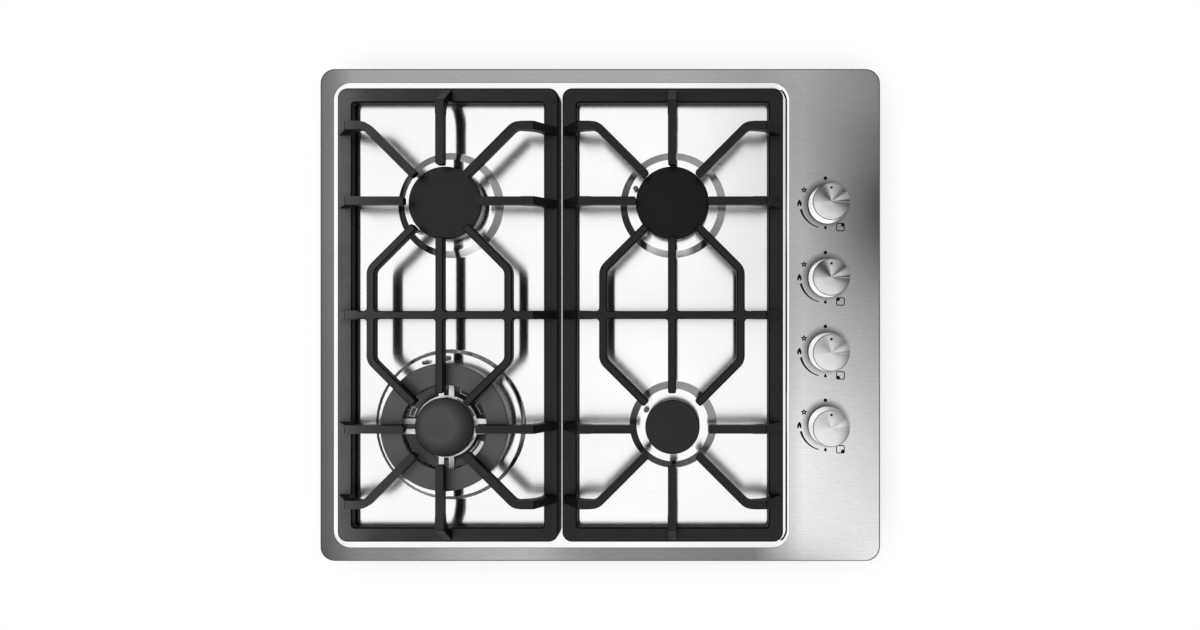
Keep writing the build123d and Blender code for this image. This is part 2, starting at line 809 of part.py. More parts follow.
def make_ring_head(burner):
    """Triple ring spreader: an outer channel with ports on both sides, a middle pot and four bridges."""
    seat = burner.seat
    venturi_bottom = cup_floor_height + cup_floor_thickness + injector_height
    outer = burner.head_radius
    inner = burner.ring_inner + head_setback
    pot = burner.middle_cap_radius - head_setback
    rim = burner.middle_cap_radius + pot_rim
    pot_top = burner.ring_top + burner.middle_rise
    floor_z = seat + head_base_thickness
    bridge_top = burner.ring_top - head_setback
    with BuildPart() as head:
        with BuildSketch(upright(burner.x, burner.y)):
            with BuildLine():
                Polyline(
                    (venturi_radius - venturi_wall, venturi_bottom),
                    (venturi_radius, venturi_bottom),
                    (venturi_radius, seat),
                    (outer, seat),
                    (outer, burner.ring_top),
                    (outer - head_wall, burner.ring_top),
                    (outer - head_wall, floor_z),
                    (inner + head_wall, floor_z),
                    (inner + head_wall, burner.ring_top),
                    (inner, burner.ring_top),
                    (inner, floor_z),
                    (pot, floor_z),
                    (pot, bridge_top - pot_rim_thickness),
                    (rim, bridge_top - pot_rim_thickness),
                    (rim, bridge_top),
                    (pot, bridge_top),
                    (pot, pot_top),
                    (pot - head_wall, pot_top),
                    (pot - head_wall, floor_z),
                    (venturi_radius - venturi_wall, floor_z),
                    close=True,
                )
            make_face()
        revolve(axis=Axis((burner.x, burner.y, 0), (0, 0, 1)))
        cut_ports(burner, outer, burner.ring_top, head_wall)
        cut_ports(burner, inner + head_wall, burner.ring_top, head_wall)
        cut_ports(burner, pot, pot_top, head_wall)
        # pairs of bridges between the pot and the ring
        with BuildSketch(Plane.XY.offset(seat)):
            with Locations((burner.x, burner.y)):
                with PolarLocations((pot + inner) / 2, 4):
                    for side in (-1, 1):
                        with Locations((0, side * (bridge_gap + bridge_width) / 2)):
                            Rectangle(inner - pot + head_wall, bridge_width)
        extrude(amount=bridge_top - seat)
    return head.part


def make_cap(burner, outer, inner, ring_outer, ring_inner, bottom, dome):
    """An enamelled cap, or a ring cap where inner is above 0, with a skirt that centres it on its ring."""
    top = bottom + burner.cap_thickness
    with BuildPart() as cap:
        with BuildSketch(upright(burner.x, burner.y)) as profile:
            with BuildLine():
                Polyline((inner, top), (inner, bottom), (outer, bottom), (outer, top - dome))
                if dome > 0:
                    ball = (outer**2 + dome**2) / (2 * dome)
                    halfway = top - ball + sqrt(ball**2 - outer**2 / 4)
                    ThreePointArc((outer, top - dome), (outer / 2, halfway), (inner, top))
                else:
                    Line((outer, top), (inner, top))
            make_face()
            rim = [v for v in profile.vertices() if v.Y > bottom + cap_fillet and v.X > cap_fillet]
            fillet(rim, cap_fillet)
        revolve(axis=Axis((burner.x, burner.y, 0), (0, 0, 1)))
        with BuildSketch(Plane.XY.offset(bottom)):
            with Locations((burner.x, burner.y)):
                Circle(ring_outer)
                Circle(ring_outer - cap_skirt, mode=Mode.SUBTRACT)
                if ring_inner > 0:
                    Circle(ring_inner + cap_skirt)
                    Circle(ring_inner, mode=Mode.SUBTRACT)
        extrude(amount=-cap_skirt)
    return cap.part


def make_spark_electrodes():
    collar_top = boss_under - cup_flange_thickness
    with BuildPart() as electrodes:
        for burner in burners.values():
            place = polar(burner, burner.electrode_angle, burner.probe_radius)
            with BuildSketch(Plane.XY.offset(collar_top - probe_tail)):
                with Locations(place):
                    Circle(ceramic_radius)
            extrude(amount=probe_tail + boss_top - collar_top + ceramic_rise)
            with BuildSketch(Plane.XY.offset(boss_top + ceramic_rise)):
                with Locations(place):
                    Circle(electrode_tip_radius)
            extrude(amount=electrode_tip_length)
            with BuildSketch(Plane.XY.offset(collar_top)):
                with Locations(place):
                    Circle(ceramic_radius + probe_collar)
            extrude(amount=-probe_collar)
    return electrodes.part


def make_thermocouples():
    collar_top = boss_under - cup_flange_thickness
    with BuildPart() as probes:
        for burner in burners.values():
            place = polar(burner, burner.thermocouple_angle, burner.probe_radius)
            with BuildSketch(Plane.XY.offset(collar_top - probe_tail)):
                with Locations(place):
                    Circle(thermocouple_radius)
            extrude(amount=probe_tail + boss_top - collar_top + thermocouple_rise)
            with BuildSketch(Plane.XY.offset(collar_top)):
                with Locations(place):
                    Circle(thermocouple_radius + probe_collar)
            extrude(amount=-probe_collar)
    return probes.part


# ---------------------------------------------------------------- gas supply
def make_gas_rail():
    front = knob_y[-1] - rail_front_overhang
    length = recess_front + 2 * sheet - front
    with BuildPart() as rail:
        with BuildSketch(Plane(origin=(rail_x, front, rail_height), z_dir=(0, 1, 0))):
            Circle(rail_radius)
        extrude(amount=length)
        with BuildSketch(Plane(origin=(rail_x, front + rail_wall, rail_height), z_dir=(0, 1, 0))):
            Circle(rail_radius - rail_wall)
        extrude(amount=length, mode=Mode.SUBTRACT)
        for y in knob_y:
            with BuildSketch(Plane(origin=(rail_x, y, rail_height), z_dir=(-1, 0, 0))):
                Circle(tube_radius / 2)
            extrude(amount=2 * rail_radius, mode=Mode.SUBTRACT)
    return rail.part


def make_rail_brackets():
    """Blocks on the tray's floor that the rail passes through, beyond the first and last valve."""
    places = [(rail_x, y) for y in (knob_y[0] + bracket_offset, knob_y[-1] - bracket_offset)]
    with BuildPart() as brackets:
        with BuildSketch(Plane.XY.offset(sheet)):
            with Locations(*places):
                Rectangle(2 * (rail_radius + bracket_wall), bracket_length)
        extrude(amount=rail_height + rail_radius + bracket_wall - sheet)
        with BuildSketch(Plane(origin=(rail_x, places[1][1] - bracket_length, rail_height), z_dir=(0, 1, 0))):
            Circle(rail_radius + rail_clearance)
        extrude(amount=places[0][1] - places[1][1] + 2 * bracket_length, mode=Mode.SUBTRACT)
    return brackets.part


def make_rail_locknut():
    with BuildPart() as nut:
        with BuildSketch(Plane(origin=(rail_x, recess_front - sheet, rail_height), z_dir=(0, -1, 0))):
            RegularPolygon(locknut_hex / 2, 6, major_radius=False, rotation=30)
            Circle(rail_radius + rail_clearance, mode=Mode.SUBTRACT)
        extrude(amount=locknut_height)
    return nut.part


def make_gas_inlet():
    start = recess_front + 2 * sheet
    with BuildPart() as inlet:
        with BuildSketch(Plane(origin=(rail_x, start, rail_height), z_dir=(0, 1, 0))):
            RegularPolygon(inlet_hex / 2, 6, rotation=30, major_radius=False)
        extrude(amount=inlet_hex_height)
        with BuildSketch(Plane(origin=(rail_x, start + inlet_hex_height, rail_height), z_dir=(0, 1, 0))):
            Circle(inlet_thread_radius)
        extrude(amount=inlet_thread_length)
        with BuildSketch(Plane(origin=(rail_x, start, rail_height), z_dir=(0, 1, 0))):
            Circle(inlet_bore_radius)
        extrude(amount=inlet_hex_height + inlet_thread_length, mode=Mode.SUBTRACT)
    return inlet.part


def make_cable_gland():
    x = recess_left + gland_from_recess_side
    with BuildPart() as gland:
        with BuildSketch(Plane(origin=(x, recess_front, rail_height), z_dir=(0, 1, 0))):
            RegularPolygon(gland_hex_radius, 6)
        extrude(amount=gland_length / 3)
        with BuildSketch(Plane(origin=(x, recess_front, rail_height), z_dir=(0, 1, 0))):
            Circle(gland_radius)
        extrude(amount=gland_length)
        with BuildSketch(Plane(origin=(x, recess_front, rail_height), z_dir=(0, -1, 0))):
            Circle(gland_radius - sheet - rail_clearance)
        extrude(amount=gland_length / 2)
        with BuildSketch(Plane(origin=(x, recess_front, rail_height), z_dir=(0, 1, 0))):
            Circle(gland_bore_radius)
        extrude(amount=gland_length, both=True, mode=Mode.SUBTRACT)
    return gland.part


def make_gas_tubes():
    """One aluminium tube from each valve to its burner, bent once where the burner isn't in line."""
    start_x = knob_line_x - valve_left - valve_spout + tube_socket_depth
    tubes = []
    for name, y in zip(knob_order, knob_y):
        burner = burners[name]
        turned = burner.inlet_angle != 0
        towards = sin(radians(burner.inlet_angle))
        socket = burner.cup_radius - tube_socket_depth
        with BuildPart() as tube:
            with BuildLine() as route:
                if turned:
                    FilletPolyline(
                        (start_x, y, tube_height),
                        (burner.x, y, tube_height),
                        (burner.x, burner.y + towards * socket, tube_height),
                        radius=tube_bend_radius,
                    )
                else:
                    Line((start_x, burner.y, tube_height), (burner.x + socket, burner.y, tube_height))
            with BuildSketch(Plane(origin=route.line @ 0, z_dir=route.line % 0)):
                Circle(tube_radius)
                Circle(tube_radius / 2, mode=Mode.SUBTRACT)
            sweep()
        tubes.append(tube.part)
    with BuildPart() as group:
        for tube_part in tubes:
            add(tube_part)
    return group.part


# ---------------------------------------------------------------- valves, stems, knobs
stem_bottom = valve_top - plug_length + push_travel + 2 * plug_clearance
collar_bottom = valve_top + plug_flange_thickness + spring_seat_gap + spring_space
knob_bottom = border_top + knob_gap
knob_top = knob_bottom + knob_height
stem_top = knob_bottom + stem_grip
block_under_switch = rail_height + rail_radius + valve_rail_wall


def d_section(radius, flat):
    """A round section with one flat, drawn in the open sketch at the open location."""
    Circle(radius)
    with Locations((radius - flat + radius, 0)):
        Rectangle(2 * radius, 3 * radius, mode=Mode.SUBTRACT)


def make_valve_body(y):
    with BuildPart() as body:
        with BuildSketch(Plane.XY.offset(valve_bottom)):
            with Locations((knob_line_x, y)):
                Rectangle(2 * valve_left, valve_length_y)
        extrude(amount=valve_top - valve_bottom)
        # wraps round the rail
        with BuildSketch(Plane.XY.offset(rail_height - rail_radius - sheet)):
            with Locations((rail_x, y)):
                Rectangle(2 * (rail_radius + valve_rail_wall), valve_length_y)
        extrude(amount=2 * rail_radius + sheet + valve_rail_wall)
        with BuildSketch(Plane(origin=(rail_x, y, rail_height), z_dir=(0, 1, 0))):
            Circle(rail_radius + rail_clearance)
        extrude(amount=valve_length_y, both=True, mode=Mode.SUBTRACT)
        # outlet
        outlet = Plane(origin=(knob_line_x - valve_left, y, tube_height), z_dir=(-1, 0, 0))
        with BuildSketch(outlet):
            Circle(valve_spout_radius)
        extrude(amount=valve_spout)
        with BuildSketch(outlet.offset(valve_spout - tube_socket_depth)):
            Circle(tube_radius + tube_clearance)
        extrude(amount=tube_socket_depth, mode=Mode.SUBTRACT)
        # bore for the plug
        with BuildSketch(Plane.XY.offset(valve_top - plug_length)):
            with Locations((knob_line_x, y)):
                Circle(plug_radius)
        extrude(amount=plug_length, mode=Mode.SUBTRACT)
    return body.part


def make_valve_plug(y):
    with BuildPart() as plug:
        with BuildSketch(Plane.XY.offset(valve_top - plug_length + plug_clearance)):
            with Locations((knob_line_x, y)):
                Circle(plug_radius - plug_clearance)
        extrude(amount=plug_length)
        with BuildSketch(Plane.XY.offset(valve_top + plug_clearance)):
            with Locations((knob_line_x, y)):
                Circle(plug_flange_radius)
        extrude(amount=plug_flange_thickness)
        with BuildSketch(Plane.XY.offset(valve_top - plug_length)):
            with Locations((knob_line_x, y)):
                d_section(stem_radius + stem_clearance, stem_flat)
        extrude(amount=plug_length + 2 * plug_flange_thickness, mode=Mode.SUBTRACT)
    return plug.part


def make_valve_stem(y):
    with BuildPart() as stem:
        with BuildSketch(Plane.XY.offset(stem_bottom)):
            with Locations((knob_line_x, y)):
                d_section(stem_radius, stem_flat)
        extrude(amount=stem_top - stem_bottom)
        with BuildSketch(Plane.XY.offset(collar_bottom)):
            with Locations((knob_line_x, y)):
                Circle(stem_collar_radius)
        extrude(amount=stem_collar_thickness)
    return stem.part


def make_stem_spring(y):
    bottom = valve_top + plug_clearance + plug_flange_thickness + spring_seat_gap + spring_wire_radius
    top = collar_bottom - spring_seat_gap - spring_wire_radius
    with BuildPart() as spring:
        with BuildLine() as coil:
            Helix(
                pitch=(top - bottom) / spring_turns,
                height=top - bottom,
                radius=spring_radius,
                center=(knob_line_x, y, bottom),
            )
        with BuildSketch(Plane(origin=coil.line @ 0, z_dir=coil.line % 0)):
            Circle(spring_wire_radius)
        sweep(is_frenet=True)
    return spring.part


def make_knob(y):
    """A turned metal knob, hollow below, with a hub that grips the stem and a sunk mark near its rim."""
    with BuildPart() as knob:
        with BuildSketch(upright(knob_line_x, y)):
            with BuildLine():
                Polyline(
                    (0, knob_bottom),
                    (knob_radius, knob_bottom),
                    (knob_top_radius, knob_top - knob_chamfer),
                    (knob_top_radius - knob_chamfer, knob_top),
                    (0, knob_top),
                    close=True,
                )
            make_face()
        revolve(axis=Axis((knob_line_x, y, 0), (0, 0, 1)))
        with BuildSketch(Plane.XY.offset(knob_bottom)):
            with Locations((knob_line_x, y)):
                Circle(knob_radius - knob_wall)
                Circle(knob_hub_radius, mode=Mode.SUBTRACT)
        extrude(amount=knob_height - 2 * knob_wall, mode=Mode.SUBTRACT)
        with BuildSketch(Plane.XY.offset(knob_bottom)):
            with Locations((knob_line_x, y)):
                d_section(stem_radius + stem_clearance / 2, stem_flat)
        extrude(amount=stem_grip + stem_clearance, mode=Mode.SUBTRACT)
        with BuildSketch(Plane.XY.offset(knob_top)):
            with Locations((knob_line_x, y + knob_top_radius - knob_mark_from_rim)):
                Circle(knob_mark_radius)
        extrude(amount=-knob_mark_depth, mode=Mode.SUBTRACT)
    return knob.part


def make_ignition_switches():
    """A chain of microswitches on the valves, each with its nose under a stem's collar."""
    nose_left = stem_collar_radius - switch_nose_overlap
    nose_top = collar_bottom - push_travel - switch_clearance
    body_bottom = valve_top + plug_clearance + plug_flange_thickness + switch_clearance
    body_left = plug_flange_radius + switch_clearance
    base_left = valve_left + switch_step
    base_right = rail_offset + rail_radius
    with BuildPart() as chain:
        for y in knob_y:
            with BuildSketch(upright(knob_line_x, y)):
                with BuildLine():
                    Polyline(
                        (base_left, block_under_switch),
                        (base_right, block_under_switch),
                        (base_right, nose_top),
                        (nose_left, nose_top),
                        (nose_left, body_bottom),
                        (base_left, body_bottom),
                        close=True,
                    )
                make_face()
            extrude(amount=switch_width / 2, both=True)
        with BuildSketch(Plane.XY.offset(block_under_switch)):
            with Locations((knob_line_x + base_right - switch_strip_width / 2, 0)):
                Rectangle(switch_strip_width, knob_y[0] - knob_y[-1])
        extrude(amount=switch_strip_thickness)
    return chain.part


def make_spark_module():
    with BuildPart() as module:
        with BuildSketch(Plane.XY.offset(sheet)):
            with Locations((well_x, 0)):
                RectangleRounded(module_width, module_depth, module_corner_radius)
        extrude(amount=module_height)
        with BuildSketch(Plane.XY.offset(sheet + module_height)):
            with Locations((well_x, 0)):
                with GridLocations(module_terminal_pitch, 1, module_terminals, 1):
                    Circle(module_terminal_radius)
        extrude(amount=module_terminal_height)
    return module.part


# ---------------------------------------------------------------- make and write every piece
save(make_top_panel(), "top_panel")
save(make_edge_seal(), "edge_seal")
save(make_bottom_tray(), "bottom_tray")
save(make_support_posts(), "support_posts")
save(make_tray_screws(), "tray_screws")
save(make_clamp_screws(), "clamp_screws")
for clamp_name, clamp_x, clamp_side in clamps:
    save(make_clamp(clamp_x, clamp_side), f"clamp_{clamp_name}")

for grate_name, grate_middle in grate_x.items():
    save(make_grate(grate_middle), f"grate_{grate_name}")
    save(make_grate_feet(grate_middle), f"grate_feet_{grate_name}")

for burner_name, burner in burners.items():
    save(make_burner_cup(burner), f"burner_cup_{burner_name}")
    head_top = burner.ring_top
    ring = burner.head_radius - head_wall - cap_skirt_clearance
    if burner.ring_inner > 0:
        save(make_ring_head(burner), f"burner_head_{burner_name}")
        ring_in = burner.ring_inner + head_setback + head_wall + cap_skirt_clearance
        save(
            make_cap(burner, burner.cap_radius, burner.ring_inner, ring, ring_in, head_top, 0),
            "burner_ring_cap_front_left",
        )
        middle_ring = burner.middle_cap_radius - head_setback - head_wall - cap_skirt_clearance
        middle_bottom = head_top + burner.middle_rise
        save(
            make_cap(burner, burner.middle_cap_radius, 0, middle_ring, 0, middle_bottom, burner.dome),
            f"burner_cap_{burner_name}",
        )
    else:
        save(make_simple_head(burner), f"burner_head_{burner_name}")
        save(
            make_cap(burner, burner.cap_radius, 0, ring, 0, head_top, burner.dome),
            f"burner_cap_{burner_name}",
        )
save(make_gas_injectors(), "gas_injectors")
save(make_spark_electrodes(), "spark_electrodes")
save(make_thermocouples(), "thermocouples")

save(make_gas_rail(), "gas_rail")
save(make_rail_brackets(), "rail_brackets")
save(make_rail_locknut(), "rail_locknut")
save(make_gas_inlet(), "gas_inlet")
save(make_cable_gland(), "cable_gland")
save(make_gas_tubes(), "gas_tubes")
save(make_spark_module(), "spark_module")
save(make_ignition_switches(), "ignition_switches")
for knob_name, knob_place in zip(knob_order, knob_y):
    save(make_valve_body(knob_place), f"valve_body_{knob_name}")
    save(make_valve_plug(knob_place), f"valve_plug_{knob_name}")
    save(make_valve_stem(knob_place), f"valve_stem_{knob_name}")
    save(make_stem_spring(knob_place), f"stem_spring_{knob_name}")
    save(make_knob(knob_place), f"knob_{knob_name}")
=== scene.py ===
import json
import math

import bpy
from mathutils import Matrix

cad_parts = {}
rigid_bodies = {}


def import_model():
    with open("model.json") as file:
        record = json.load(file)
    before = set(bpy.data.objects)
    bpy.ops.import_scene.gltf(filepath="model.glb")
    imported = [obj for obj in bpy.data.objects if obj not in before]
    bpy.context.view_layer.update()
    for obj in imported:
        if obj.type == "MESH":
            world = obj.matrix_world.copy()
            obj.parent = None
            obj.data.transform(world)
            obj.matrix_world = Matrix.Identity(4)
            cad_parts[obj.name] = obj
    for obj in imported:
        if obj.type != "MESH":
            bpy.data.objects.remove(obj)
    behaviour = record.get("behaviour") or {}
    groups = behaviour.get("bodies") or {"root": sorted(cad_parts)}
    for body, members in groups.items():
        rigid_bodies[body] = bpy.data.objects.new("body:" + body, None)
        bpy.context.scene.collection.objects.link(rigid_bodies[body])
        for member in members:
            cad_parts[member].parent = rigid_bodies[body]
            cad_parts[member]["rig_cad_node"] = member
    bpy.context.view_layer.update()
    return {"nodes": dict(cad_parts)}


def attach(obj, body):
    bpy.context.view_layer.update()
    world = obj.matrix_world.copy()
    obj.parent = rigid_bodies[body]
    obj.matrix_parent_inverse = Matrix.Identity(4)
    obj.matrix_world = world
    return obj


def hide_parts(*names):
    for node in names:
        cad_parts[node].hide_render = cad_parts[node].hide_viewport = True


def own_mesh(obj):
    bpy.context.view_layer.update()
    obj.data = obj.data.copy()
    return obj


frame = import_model()
nodes = frame["nodes"]
mm = 0.001
print("frame loaded:", len(nodes), "nodes")


# helpers for selecting, shaping and finishing pieces
def clearSelection():
    if bpy.context.object and bpy.context.object.mode != "OBJECT":
        bpy.ops.object.mode_set(mode="OBJECT")
    bpy.ops.object.select_all(action="DESELECT")


def workOn(piece):
    clearSelection()
    piece.select_set(True)
    bpy.context.view_layer.objects.active = piece


def editAll(piece):
    workOn(piece)
    bpy.ops.object.mode_set(mode="EDIT")
    bpy.ops.mesh.select_mode(type="VERT")
    bpy.ops.mesh.select_all(action="SELECT")


def leaveEdit():
    bpy.ops.object.mode_set(mode="OBJECT")


def settle(piece):  # place, turn and size go into the mesh
    workOn(piece)
    bpy.ops.object.transform_apply(location=True, rotation=True, scale=True)
    return piece


def modify(piece, kind, **values):
    workOn(piece)
    mod = piece.modifiers.new(kind.lower(), kind)
    for key, value in values.items():
        setattr(mod, key, value)
    bpy.ops.object.modifier_apply(modifier=mod.name)


def smoothBy(piece, angle, weighted=False):
    workOn(piece)
    bpy.ops.object.shade_smooth_by_angle(angle=math.radians(angle))
    if weighted:  # large flat faces keep their own normal
        modify(piece, "WEIGHTED_NORMAL", mode="FACE_AREA", weight=100, keep_sharp=True)


def nodeCopy(node, name, body, smooth=30, flatten=0.0):
    workOn(nodes[node])
    bpy.ops.object.duplicate(linked=False)
    piece = bpy.context.view_layer.objects.active
    piece.name = name
    del piece["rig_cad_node"]
    bpy.ops.object.parent_clear(type="CLEAR_KEEP_TRANSFORM")
    editAll(piece)
    bpy.ops.mesh.remove_doubles(threshold=0.000003)
    if flatten > 0:
        bpy.ops.mesh.dissolve_limited(angle_limit=math.radians(flatten))
    leaveEdit()
    smoothBy(piece, smooth, weighted=True)
    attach(piece, body)
    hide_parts(node)
    return piece


def joinInto(piece, others, name):
    clearSelection()
    for other in others:
        other.select_set(True)
    piece.select_set(True)
    bpy.context.view_layer.objects.active = piece
    bpy.ops.object.join()
    piece.name = name
    return piece


def dress(piece, finish):
    if len(piece.material_slots) == 0:
        piece.data.materials.append(finish)
    for place in piece.material_slots:
        place.material = finish


# camera straight above, with the view shifted so that the panel is in the middle
cameraView = {"x": 98 * mm, "height": 925 * mm, "lens": 25.5, "shift": -0.079, "clip": (0.01, 20)}

clearSelection()
bpy.ops.object.camera_add(location=(cameraView["x"], 0, cameraView["height"]), rotation=(0, 0, 0))
camera = bpy.context.object
camera.data.lens = cameraView["lens"]
camera.data.shift_x = cameraView["shift"]
camera.data.clip_start, camera.data.clip_end = cameraView["clip"]
bpy.context.scene.camera = camera
print("camera set")


# helpers for materials
def startFinish(name, colour, metal, rough):
    finish = bpy.data.materials.new(name)
    finish.use_nodes = True
    shader = finish.node_tree.nodes["Principled BSDF"]
    shader.inputs["Base Color"].default_value = (*colour, 1)
    shader.inputs["Metallic"].default_value = metal
    shader.inputs["Roughness"].default_value = rough
    return finish, finish.node_tree, shader


def noiseOn(tree, size, scale=(1, 1, 1), detail=4, rough=0.55, distortion=0.0):
    # size is the pattern's scale per metre, scale stretches it along each axis
    coord = tree.nodes.new("ShaderNodeTexCoord")
    mapping = tree.nodes.new("ShaderNodeMapping")
    mapping.inputs["Scale"].default_value = scale
    noise = tree.nodes.new("ShaderNodeTexNoise")
    noise.inputs["Scale"].default_value = size
    noise.inputs["Detail"].default_value = detail
    noise.inputs["Roughness"].default_value = rough
    noise.inputs["Distortion"].default_value = distortion
    tree.links.new(coord.outputs["Object"], mapping.inputs["Vector"])
    tree.links.new(mapping.outputs["Vector"], noise.inputs["Vector"])
    return noise.outputs["Fac"]


def spread(tree, source, low, high, start=0.3, end=0.7):
    span = tree.nodes.new("ShaderNodeMapRange")
    span.inputs["From Min"].default_value = start
    span.inputs["From Max"].default_value = end
    span.inputs["To Min"].default_value = low
    span.inputs["To Max"].default_value = high
    tree.links.new(source, span.inputs["Value"])
    return span.outputs["Result"]


def toneRamp(tree, source, stops):  # stops are (place, grey) pairs
    ramp = tree.nodes.new("ShaderNodeValToRGB")
    ramp.color_ramp.interpolation = "B_SPLINE"
    elements = ramp.color_ramp.elements
    elements[0].position, elements[1].position = stops[0][0], stops[-1][0]
    elements[0].color, elements[1].color = (*(stops[0][1],) * 3, 1), (*(stops[-1][1],) * 3, 1)
    for place, tone in stops[1:-1]:
        elements.new(place).color = (tone, tone, tone, 1)
    tree.links.new(source, ramp.inputs["Fac"])
    return ramp.outputs["Color"]


def mathOn(tree, operation, first, second):
    node = tree.nodes.new("ShaderNodeMath")
    node.operation = operation
    for value, place in ((first, node.inputs[0]), (second, node.inputs[1])):
        if isinstance(value, (int, float)):
            place.default_value = value
        else:
            tree.links.new(value, place)
    return node.outputs["Value"]


def splitOn(tree, output="Object"):
    coord = tree.nodes.new("ShaderNodeTexCoord")
    split = tree.nodes.new("ShaderNodeSeparateXYZ")
    tree.links.new(coord.outputs[output], split.inputs["Vector"])
    return split.outputs["X"], split.outputs["Y"], split.outputs["Z"]


def tint(tree, source, dark, light, start=0.3, end=0.7):
    ramp = tree.nodes.new("ShaderNodeValToRGB")
    ramp.color_ramp.elements[0].position = start
    ramp.color_ramp.elements[1].position = end
    ramp.color_ramp.elements[0].color = (*dark, 1)
    ramp.color_ramp.elements[1].color = (*light, 1)
    tree.links.new(source, ramp.inputs["Fac"])
    return ramp.outputs["Color"]


def bumpFrom(tree, source, shader, height, strength=1.0, before=None):
    bump = tree.nodes.new("ShaderNodeBump")
    bump.inputs["Distance"].default_value = height
    bump.inputs["Strength"].default_value = strength
    tree.links.new(source, bump.inputs["Height"])
    if before is not None:
        tree.links.new(before, bump.inputs["Normal"])
    tree.links.new(bump.outputs["Normal"], shader.inputs["Normal"])
    return bump.outputs["Normal"]


def blendColours(tree, mode, factor, first, second):
    mix = tree.nodes.new("ShaderNodeMix")
    mix.data_type = "RGBA"
    mix.blend_type = mode
    if isinstance(factor, float):
        mix.inputs["Factor"].default_value = factor
    else:
        tree.links.new(factor, mix.inputs["Factor"])
    for value, place in ((first, mix.inputs["A"]), (second, mix.inputs["B"])):
        if isinstance(value, tuple):
            place.default_value = (*value, 1)
        else:
            tree.links.new(value, place)
    return mix.outputs["Result"]


def makeGrained(name, colour, metal, rough, grain, scale=(1, 1, 1), vary=0.12, roughVary=0.06, height=0.00003):
    # plain finish with grain in its colour, roughness and surface
    finish, tree, shader = startFinish(name, colour, metal, rough)
    fac = noiseOn(tree, grain, scale)
    dark = tuple(c * (1 - vary) for c in colour)
    light = tuple(min(1.0, c * (1 + vary)) for c in colour)
    tree.links.new(tint(tree, fac, dark, light), shader.inputs["Base Color"])
    tree.links.new(spread(tree, fac, rough - roughVary, rough + roughVary), shader.inputs["Roughness"])
    bumpFrom(tree, fac, shader, height)
    return finish


# brushed steel of the panel: streaks run along X, so gloss spreads along Y
steel = {
    "well": (0.92, 0.92, 0.915), "rough": 0.15, "anisotropy": 0.97,
    "streak": 42, "streakStretch": (1.0, 26.0, 26.0), "streakDepth": 0.04,
    "scratch": 150, "scratchStretch": (1.0, 22.0, 22.0), "scratchDepth": 0.14,
    "scratchHeight": 0.000006, "scratchBump": 0.3, "glossVary": 0.02,
    "cloud": 5, "cloudStretch": (1.0, 1.6, 1.0), "cloudTone": 0.94,
    "wellTop": 44.3 * mm, "borderTop": 44.97 * mm, "halfWidth": 290 * mm, "halfDepth": 255 * mm,
    # painted reflection: greys of the border from left to right, at the front and at the rear
    "frontPaintedReflection": (
        (0.0, 0.09), (0.03, 0.15), (0.07, 0.24), (0.17, 0.26), (0.23, 0.38), (0.34, 0.46), (0.39, 0.43), (0.45, 0.29),
        (0.5, 0.25), (0.77, 0.20), (1.0, 0.20),
    ),
    "rearPaintedReflection": ((0.0, 0.15), (0.03, 0.22), (0.06, 0.37), (0.5, 0.41), (1.0, 0.42)),
    "frontEnd": -235 * mm, "rearEnd": 120 * mm,
    "zoneFrom": 160 * mm, "zoneTo": 210 * mm, "zoneEdge": 285 * mm,
    # painted reflection: greys of the zone with the knobs from front to rear, beside the well and at the panel's
    # right edge
    "innerPaintedReflection": (
        (0.0, 0.50), (0.02, 0.66), (0.07, 0.86), (0.25, 0.86), (0.35, 0.72), (0.5, 0.56), (0.65, 0.57), (0.8, 0.54),
        (0.9, 0.52), (1.0, 0.56),
    ),
    "outerPaintedReflection": (
        (0.0, 0.84), (0.08, 0.78), (0.19, 0.68), (0.30, 0.58), (0.42, 0.48), (0.53, 0.40), (0.62, 0.23), (0.69, 0.15),
        (0.75, 0.16), (0.81, 0.29), (0.88, 0.33), (0.93, 0.45), (1.0, 0.46),
    ),
    # outline of the well and the band of its wall, turned up to the sky by its rounded bends
    "wellMiddle": (-40.0 * mm, -0.25 * mm), "wellHalf": (236.0 * mm, 240.75 * mm), "wellCorner": 18 * mm,
    "wallFrom": 4.9 * mm, "wallTo": 4.3 * mm, "wallTurn": 0.9,
    # less of the wall shows beside the knobs, from and to these places along X
    "wallHidden": 2.6 * mm, "hiddenFrom": 183 * mm, "hiddenTo": 189 * mm,
    # painted dark reflection on the bend round the panel's outer edge
    "panelHalf": (290 * mm, 255 * mm), "panelCorner": 16 * mm, "bend": 1.5 * mm, "bendFade": 0.6, "bendPaintedReflection": 0.30,
    # the pressed slopes between floor and bosses are smoother
    "slopeFrom": 38.6 * mm, "slopeTo": 42.4 * mm, "slopeFade": 0.3 * mm, "slopeRough": 0.12,
    # contact shade under the knobs, behind and to the left of them
    "knobs": {"x": 234.0 * mm, "behind": 2.0 * mm, "pitch": 76 * mm, "from": 19.5 * mm, "to": 26 * mm, "tone": 0.30},
}


def turnedUp(tree, factor):  # the surface's direction, turned up to the sky by the factor
    surface = tree.nodes.new("ShaderNodeNewGeometry")
    facing = tree.nodes.new("ShaderNodeMix")
    facing.data_type = "VECTOR"  # its vector sockets are inputs 4 and 5 and output 1
    tree.links.new(factor, facing.inputs["Factor"])
    tree.links.new(surface.outputs["Normal"], facing.inputs[4])
    facing.inputs[5].default_value = (0, 0, 1)
    return facing.outputs[1]


def outlineDistance(tree, place, middle, half, corner):  # from a rounded outline in plan, below zero inside it
    reach = []
    for along, centre, length in zip(place, middle, half):
        far = mathOn(tree, "ABSOLUTE", mathOn(tree, "SUBTRACT", along, centre), 0.0)
        far = mathOn(tree, "MAXIMUM", mathOn(tree, "SUBTRACT", far, length - corner), 0.0)
        reach.append(mathOn(tree, "POWER", far, 2.0))
    return mathOn(tree, "SUBTRACT", mathOn(tree, "SQRT", mathOn(tree, "ADD", *reach), 0.0), corner)


